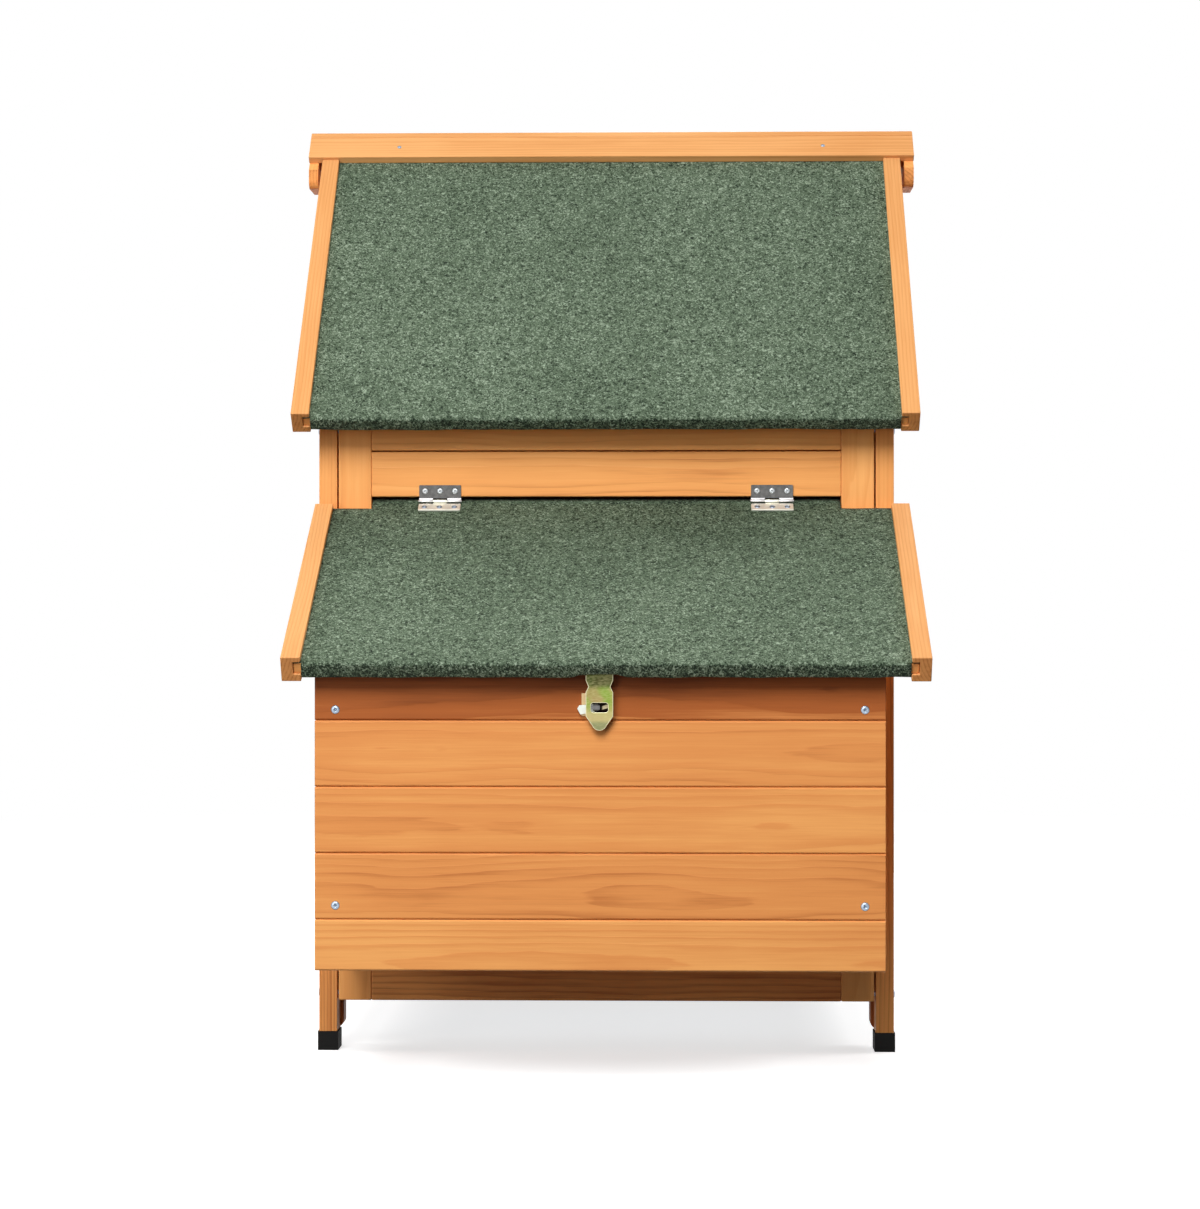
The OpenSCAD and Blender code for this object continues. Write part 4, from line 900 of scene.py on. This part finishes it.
# %% [markdown]
# A butt hinge is two stamped leaves whose edges are rolled round one pin. The frame's leaf carries the
# outer two barrels and the moving leaf the middle one. The outer barrels are as bright as the pin, so they
# are kept with it and not with the frame's dull leaves. Each leaf is drawn once, flat against the timber
# with its pin along X, and then set at its place; the moving leaf is the mirror image of the other.

# %% Hinges
hinge_half, leaf_reach, leaf_thick, pin_off = 21 * mm, 16 * mm, 1.5 * mm, 3 * mm
barrel_r, pin_r, barrel_gap = 1.4 * mm, 0.9 * mm, 0.15 * mm
screw_spots = [(x * mm, 10 * mm) for x in (-15, 0, 15)]


def plate(outline, thick, rim):
    """A flat plate with rounded rims from an outline, its back at height 0."""
    shape = bmesh.new()
    lower = [shape.verts.new((x, y, 0)) for x, y in outline]
    upper = [shape.verts.new((x, y, thick)) for x, y in outline]
    shape.faces.new(upper)
    shape.faces.new(lower[::-1])
    join_rings(shape, lower, upper)
    face_out(shape)
    top_edges = [edge for edge in shape.edges if all(abs(v.co.z - thick) < 1e-7 for v in edge.verts)]
    bmesh.ops.bevel(shape, geom=top_edges, offset=rim, segments=2, profile=0.5, affect="EDGES")
    return shape


def round_corners(corners, radius, steps=4):
    """A closed outline whose corners are arcs."""
    outline = []
    for i, corner in enumerate(corners):
        here, last = Vector(corner), Vector(corners[i - 1])
        following = Vector(corners[(i + 1) % len(corners)])
        start = here + (last - here).normalized() * radius
        end = here + (following - here).normalized() * radius
        for k in range(steps + 1):
            t = k / steps
            outline.append(tuple(start * (1 - t) ** 2 + here * 2 * t * (1 - t) + end * t ** 2))
    return outline


def lying(shape, name):
    """Lays a turned shape along X and makes it a mesh."""
    bmesh.ops.rotate(shape, verts=shape.verts, matrix=Matrix.Rotation(math.pi / 2, 3, "Y"))
    return mesh_of(shape, name)


def barrel(start, end, radius, hole):
    rim = 0.3 * mm
    profile = [(hole, start), (radius - rim, start), (radius, start + rim), (radius, end - rim),
               (radius - rim, end), (hole, end)]
    return lying(turned(profile, 24, closed=True), "barrel")


def rolled(stretches):
    """The barrels of a leaf, with the tongues that join them to it."""
    shape = bmesh.new()
    for start, end in stretches:
        set_in(shape, barrel(start, end, barrel_r, pin_r + 0.05 * mm), Matrix())
        tongue = [(start, 1.0 * mm), (end, 1.0 * mm), (end, 3.2 * mm), (start, 3.2 * mm)]
        set_in(shape, mesh_of(plate(tongue, leaf_thick, 0.2 * mm), "tongue"), stand)
    return mesh_of(shape, "barrels")


stand = Matrix.Translation((0, pin_off, 0)) @ Matrix.Rotation(math.pi / 2, 4, "X")
third = hinge_half / 3
corners = [(-hinge_half, 2.6 * mm), (hinge_half, 2.6 * mm),
           (hinge_half, leaf_reach), (-hinge_half, leaf_reach)]
flat_leaf = mesh_of(plate(round_corners(corners, 1.1 * mm), leaf_thick, 0.3 * mm), "plate")
outer_barrels = rolled([(-hinge_half, -third - barrel_gap), (third + barrel_gap, hinge_half)])
inner_barrels = rolled([(-third + barrel_gap, third - barrel_gap)])
pin_end = [(0, 0.9), (0.9, 0.8), (1.3, 0.3), (1.3, 0)]
pin_top = [(x * mm, hinge_half + z * mm) for x, z in pin_end] + [(pin_r, hinge_half)]
pin_mesh = lying(turned(pin_top + [(x, -z) for x, z in reversed(pin_top)], 20), "pin")

mirrored = Matrix.Diagonal((1, -1, 1, 1))
upright = Matrix.Rotation(math.pi / 2, 4, "Z") @ Matrix.Rotation(-math.pi / 2, 4, "Y")
tilted = Matrix.Rotation(math.pi / 2 + slope_lid, 4, "X")
joint_at = {joint["name"]: Vector(joint["pos_m"]) for joint in frame["joints"] if "pos_m" in joint}
lid_hinge_x, door_hinge_in = 166 * mm, 60 * mm
hinge_sets = [("nest_lid", [Vector((x, hinge_line.y, hinge_line.z)) for x in (-lid_hinge_x, lid_hinge_x)],
               Matrix(), tilted @ mirrored)]
for door, joint_name, fixed in (("house_door", "house_door_swing", upright),
                                ("run_door", "run_door_swing", mirrored @ upright)):
    low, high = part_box(door + "_frame")
    pins = [Vector((*joint_at[joint_name].xy, z))
            for z in (low.z + door_hinge_in, high.z - door_hinge_in)]
    hinge_sets.append((door, pins, fixed, mirrored @ fixed))

fixed_leaves, fixed_screws, pins_shape = bmesh.new(), bmesh.new(), bmesh.new()
moving = {}
for body, pins, fixed, swinging in hinge_sets:
    leaves, screws = bmesh.new(), bmesh.new()
    for pin in pins:
        at = Matrix.Translation(pin)
        set_in(fixed_leaves, flat_leaf, at @ fixed @ stand)
        set_in(pins_shape, outer_barrels, at @ fixed)
        set_in(pins_shape, pin_mesh, at @ fixed)
        set_in(leaves, flat_leaf, at @ swinging @ stand)
        set_in(leaves, inner_barrels, at @ swinging)
        for place, screw_shape in ((at @ fixed, fixed_screws), (at @ swinging, screws)):
            for x, z in screw_spots:
                seat = place @ Vector((x, pin_off - leaf_thick, z))
                way = place.to_3x3() @ Vector((0, -1, 0))
                set_in(screw_shape, small_head, facing(way, seat, dial.uniform(0, math.pi)))
    moving[body] = (leaves, screws)

hinge_pieces = [(fixed_leaves, "hinge_fixed_leaves", dull_zinc, "root"),
                (fixed_screws, "hinge_screws", hinge_screw_zinc, "root"),
                (pins_shape, "hinge_pins", bright_zinc, "root"),
                (moving["nest_lid"][0], "lid_hinge_leaves", cream_zinc, "nest_lid"),
                (moving["nest_lid"][1], "lid_hinge_screws", screw_zinc, "nest_lid"),
                (moving["house_door"][0], "house_door_hinge_leaves", bright_zinc, "house_door"),
                (moving["run_door"][0], "run_door_hinge_leaves", bright_zinc, "run_door")]
for shape, node, look, body in hinge_pieces:
    piece = as_piece(shape, node + "_stamped", look, body, 1e-5)
    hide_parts(node)
for body in ("house_door", "run_door"):
    piece = as_piece(moving[body][1], body + "_hinge_screws", screw_zinc, body, 1e-5)
hinge_count = sum(len(pins) for _, pins, _, _ in hinge_sets)
print(hinge_count, "hinges with", hinge_count * 2 * len(screw_spots), "screws")

# %% [markdown]
# The hasp, its staple and the rubber boots keep the shapes of their solids. Stamping rolls the edges of a plate
# over and a mould rounds the corners of a boot, so each gets a round rim of its own size, which is what catches
# the light. The strap's rim is painted paler as a highlight, and the front of the staple is duller than the rest.

# %% Stamped and moulded pieces
strap_low, strap_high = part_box("hasp_strap")
slot_z, rim_highlight_width, dull_front = 352.2 * mm, 0.5 * mm, 3.4 * mm
plate_gold = plate_zinc("plate_zinc", (strap_low.x + strap_high.x) / 2, slot_z)
rims = {"hasp_strap": (0.5 * mm, gold_zinc), "hasp_leaf": (0.3 * mm, gold_zinc),
        "staple_plate": (0.35 * mm, plate_gold), "turn_staple": (0.6 * mm, lever_zinc),
        "rubber_boots": (0.9 * mm, black_rubber)}
staple_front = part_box("turn_staple")[0].y
for node, (radius, look) in rims.items():
    shape = whole_faces(node)
    round_edges(shape, radius, 3, 0.6 * mm)
    second = None
    if node == "hasp_strap":
        front = [face for face in shape.faces if face.normal.y < -0.99]
        rim = bmesh.ops.inset_region(shape, faces=front, thickness=rim_highlight_width,
                                     use_boundary=True, use_even_offset=True)
        apart = rim["faces"] + [face for face in shape.faces if -0.97 < face.normal.y < -0.15]
        second = rim_highlight
    if node == "turn_staple":
        apart = [face for face in shape.faces
                 if face.calc_center_median().y < staple_front + dull_front]
        second = dull_zinc
    if second:
        for face in apart:
            face.material_index = 1
    piece = as_piece(shape, node + "_rounded", look, body_of_node[node], 1.2e-5)
    if second:
        piece.data.materials.append(second)
    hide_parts(node)

# %% [markdown]
# The tray is folded from sheet, and its upper edge is rolled outwards so that it is stiff and can't cut
# a hand. The roll is a pipe along the four walls. A pipe is drawn by carrying a ring along a path and
# turning it as little as possible at each point.

# %% The rolled rim of the tray
def pipe(shape, points, radius, sides=8, closed=False):
    """Adds a pipe along points to a shape, with domed ends unless it is closed."""
    points = [Vector(point) for point in points]
    rings, normal = [], None
    for i, point in enumerate(points):
        before = points[i - 1] if i or closed else point
        after = points[(i + 1) % len(points)] if i + 1 < len(points) or closed else point
        way = (after - before).normalized()
        if normal is None:
            normal = way.orthogonal().normalized()
        normal = (normal - way * normal.dot(way)).normalized()
        other = way.cross(normal)
        rings.append([shape.verts.new(point + (normal * c + other * s) * radius) for c, s in circle(sides)])
    pairs = list(zip(rings, rings[1:]))
    if closed:
        shift = min(range(sides), key=lambda s: (rings[-1][0].co - rings[0][s].co).length)
        pairs.append((rings[-1], rings[0][shift:] + rings[0][:shift]))
    else:
        for ring, way in ((rings[0], points[0] - points[1]), (rings[-1], points[-1] - points[-2])):
            middle = sum((v.co for v in ring), Vector()) / sides
            tip = shape.verts.new(middle + way.normalized() * radius * 0.6)
            for k in range(sides):
                shape.faces.new((ring[k], ring[(k + 1) % sides], tip))
    for pair in pairs:
        join_rings(shape, *pair)


shape = whole_faces("tray_pan")
round_edges(shape, 0.5 * mm, 3, 0.6 * mm)
low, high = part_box("tray_pan")
wall, roll = 0.75 * mm, 1.5 * mm
corners = round_corners([(low.x + wall, low.y + wall), (high.x - wall, low.y + wall),
                         (high.x - wall, high.y - wall), (low.x + wall, high.y - wall)], 4 * mm)
pipe(shape, [(x, y, high.z - roll) for x, y in corners], roll, 10, closed=True)
face_out(shape)
tray = as_piece(shape, "tray_pan_folded", galvanised, "tray", 1e-5)
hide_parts("tray_pan")
print("tray", len(tray.data.polygons), "faces")

# %% [markdown]
# The run is closed with welded mesh: straight galvanised wires that lie crosswise on each other. Each
# solid of a net is one wire, so its box says where the wire runs, and a round wire with a snipped end
# takes its place. Small staples hold the wires to the timber, a leg on each side of the wire.

# %% Welded nets and their staples
wire_r = 0.6 * mm


def wire_lines(name):
    """The two ends of every wire of a net."""
    shape, lines = welded(name), []
    for faces in separate_solids(shape):
        points = [vert.co for face in faces for vert in face.verts]
        low, high = (Vector([pick(p[i] for p in points) for i in range(3)]) for pick in (min, max))
        middle, way = (low + high) / 2, max(range(3), key=lambda i: high[i] - low[i])
        start, end = middle.copy(), middle.copy()
        start[way], end[way] = low[way], high[way]
        lines.append((start, end))
    shape.free()
    return lines


def staple(shape, spot, along, outward):
    """A wire staple over a spot on the timber: along is the wire's way and outward leaves the timber."""
    side = along.cross(outward).normalized() * 3 * mm
    top, leg, turn = outward * 3.1 * mm, outward * -4 * mm, 0.8 * mm
    corner = side.normalized() * turn
    path = [spot - side + leg, spot - side + top - outward * turn, spot - side + corner + top,
            spot + side - corner + top, spot + side + top - outward * turn, spot + side + leg]
    pipe(shape, path, 0.55 * mm, 6)


side_timber_x, every_third, staple_in = 269.5 * mm, 3, 5 * mm
nets = {"run_side_mesh": (None, side_timber_x),
        "run_door_mesh": (Vector((-1, 0, 0)), side_timber_x),
        "run_end_mesh": (Vector((0, -1, 0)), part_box("run_end_frame")[0].y),
        "run_top_mesh": (Vector((0, 0, -1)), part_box("run_top_frame")[0].z)}
for name, (outward, timber_face) in nets.items():
    shape = bmesh.new()
    lines = wire_lines(name)
    for count, (start, end) in enumerate(lines):
        ahead = (end - start).normalized()
        trim = ahead * 0.3 * mm
        pipe(shape, [start + trim, end - trim], wire_r, 10)
        if count % every_third:
            continue
        way = outward or Vector((-1 if start.x > 0 else 1, 0, 0))
        for end_point, inward in ((start, 1), (end, -1)):
            spot = end_point + ahead * inward * staple_in
            axis = max(range(3), key=lambda i: abs(way[i]))
            spot[axis] = timber_face * (1 if axis != 0 or start.x > 0 else -1)
            staple(shape, spot, ahead, way)
    face_out(shape)
    piece = as_piece(shape, name + "_wires", galvanised, body_of_node[name], 1)
    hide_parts(name)
    print(piece.name, len(lines), "wires")

# %% [markdown]
# Each turn button is held by one screw with a washer under its head. The screw stays with the frame while
# the button turns, so it rides on the frame.

# %% Screws of the turn buttons
button_head = cross_screw(4.2 * mm, 1.6 * mm, 2.0 * mm, 24 * mm)
washer = mesh_of(turned([(2.2 * mm, 0), (6.2 * mm, 0), (6.5 * mm, 0.3 * mm), (6.5 * mm, 0.7 * mm),
                         (6.2 * mm, 1.0 * mm), (2.2 * mm, 1.0 * mm)], 32, closed=True), "washer")
for button in ("house_button", "run_button"):
    shape = bmesh.new()
    low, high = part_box("house_door_button" if button == "house_button" else "run_door_button")
    seat = Vector((high.x, *joint_at[button + "_turn"].yz))
    set_in(shape, washer, facing((1, 0, 0), seat))
    set_in(shape, button_head, facing((1, 0, 0), seat + Vector((1.0 * mm, 0, 0)), dial.uniform(0, math.pi)))
    piece = as_piece(shape, button + "_screw", screw_zinc, "root", 1e-5)
print("2 button screws")

# %% Measure and finish
low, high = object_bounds()
print("dressed size", [round(b - a, 4) for a, b in zip(low, high)])
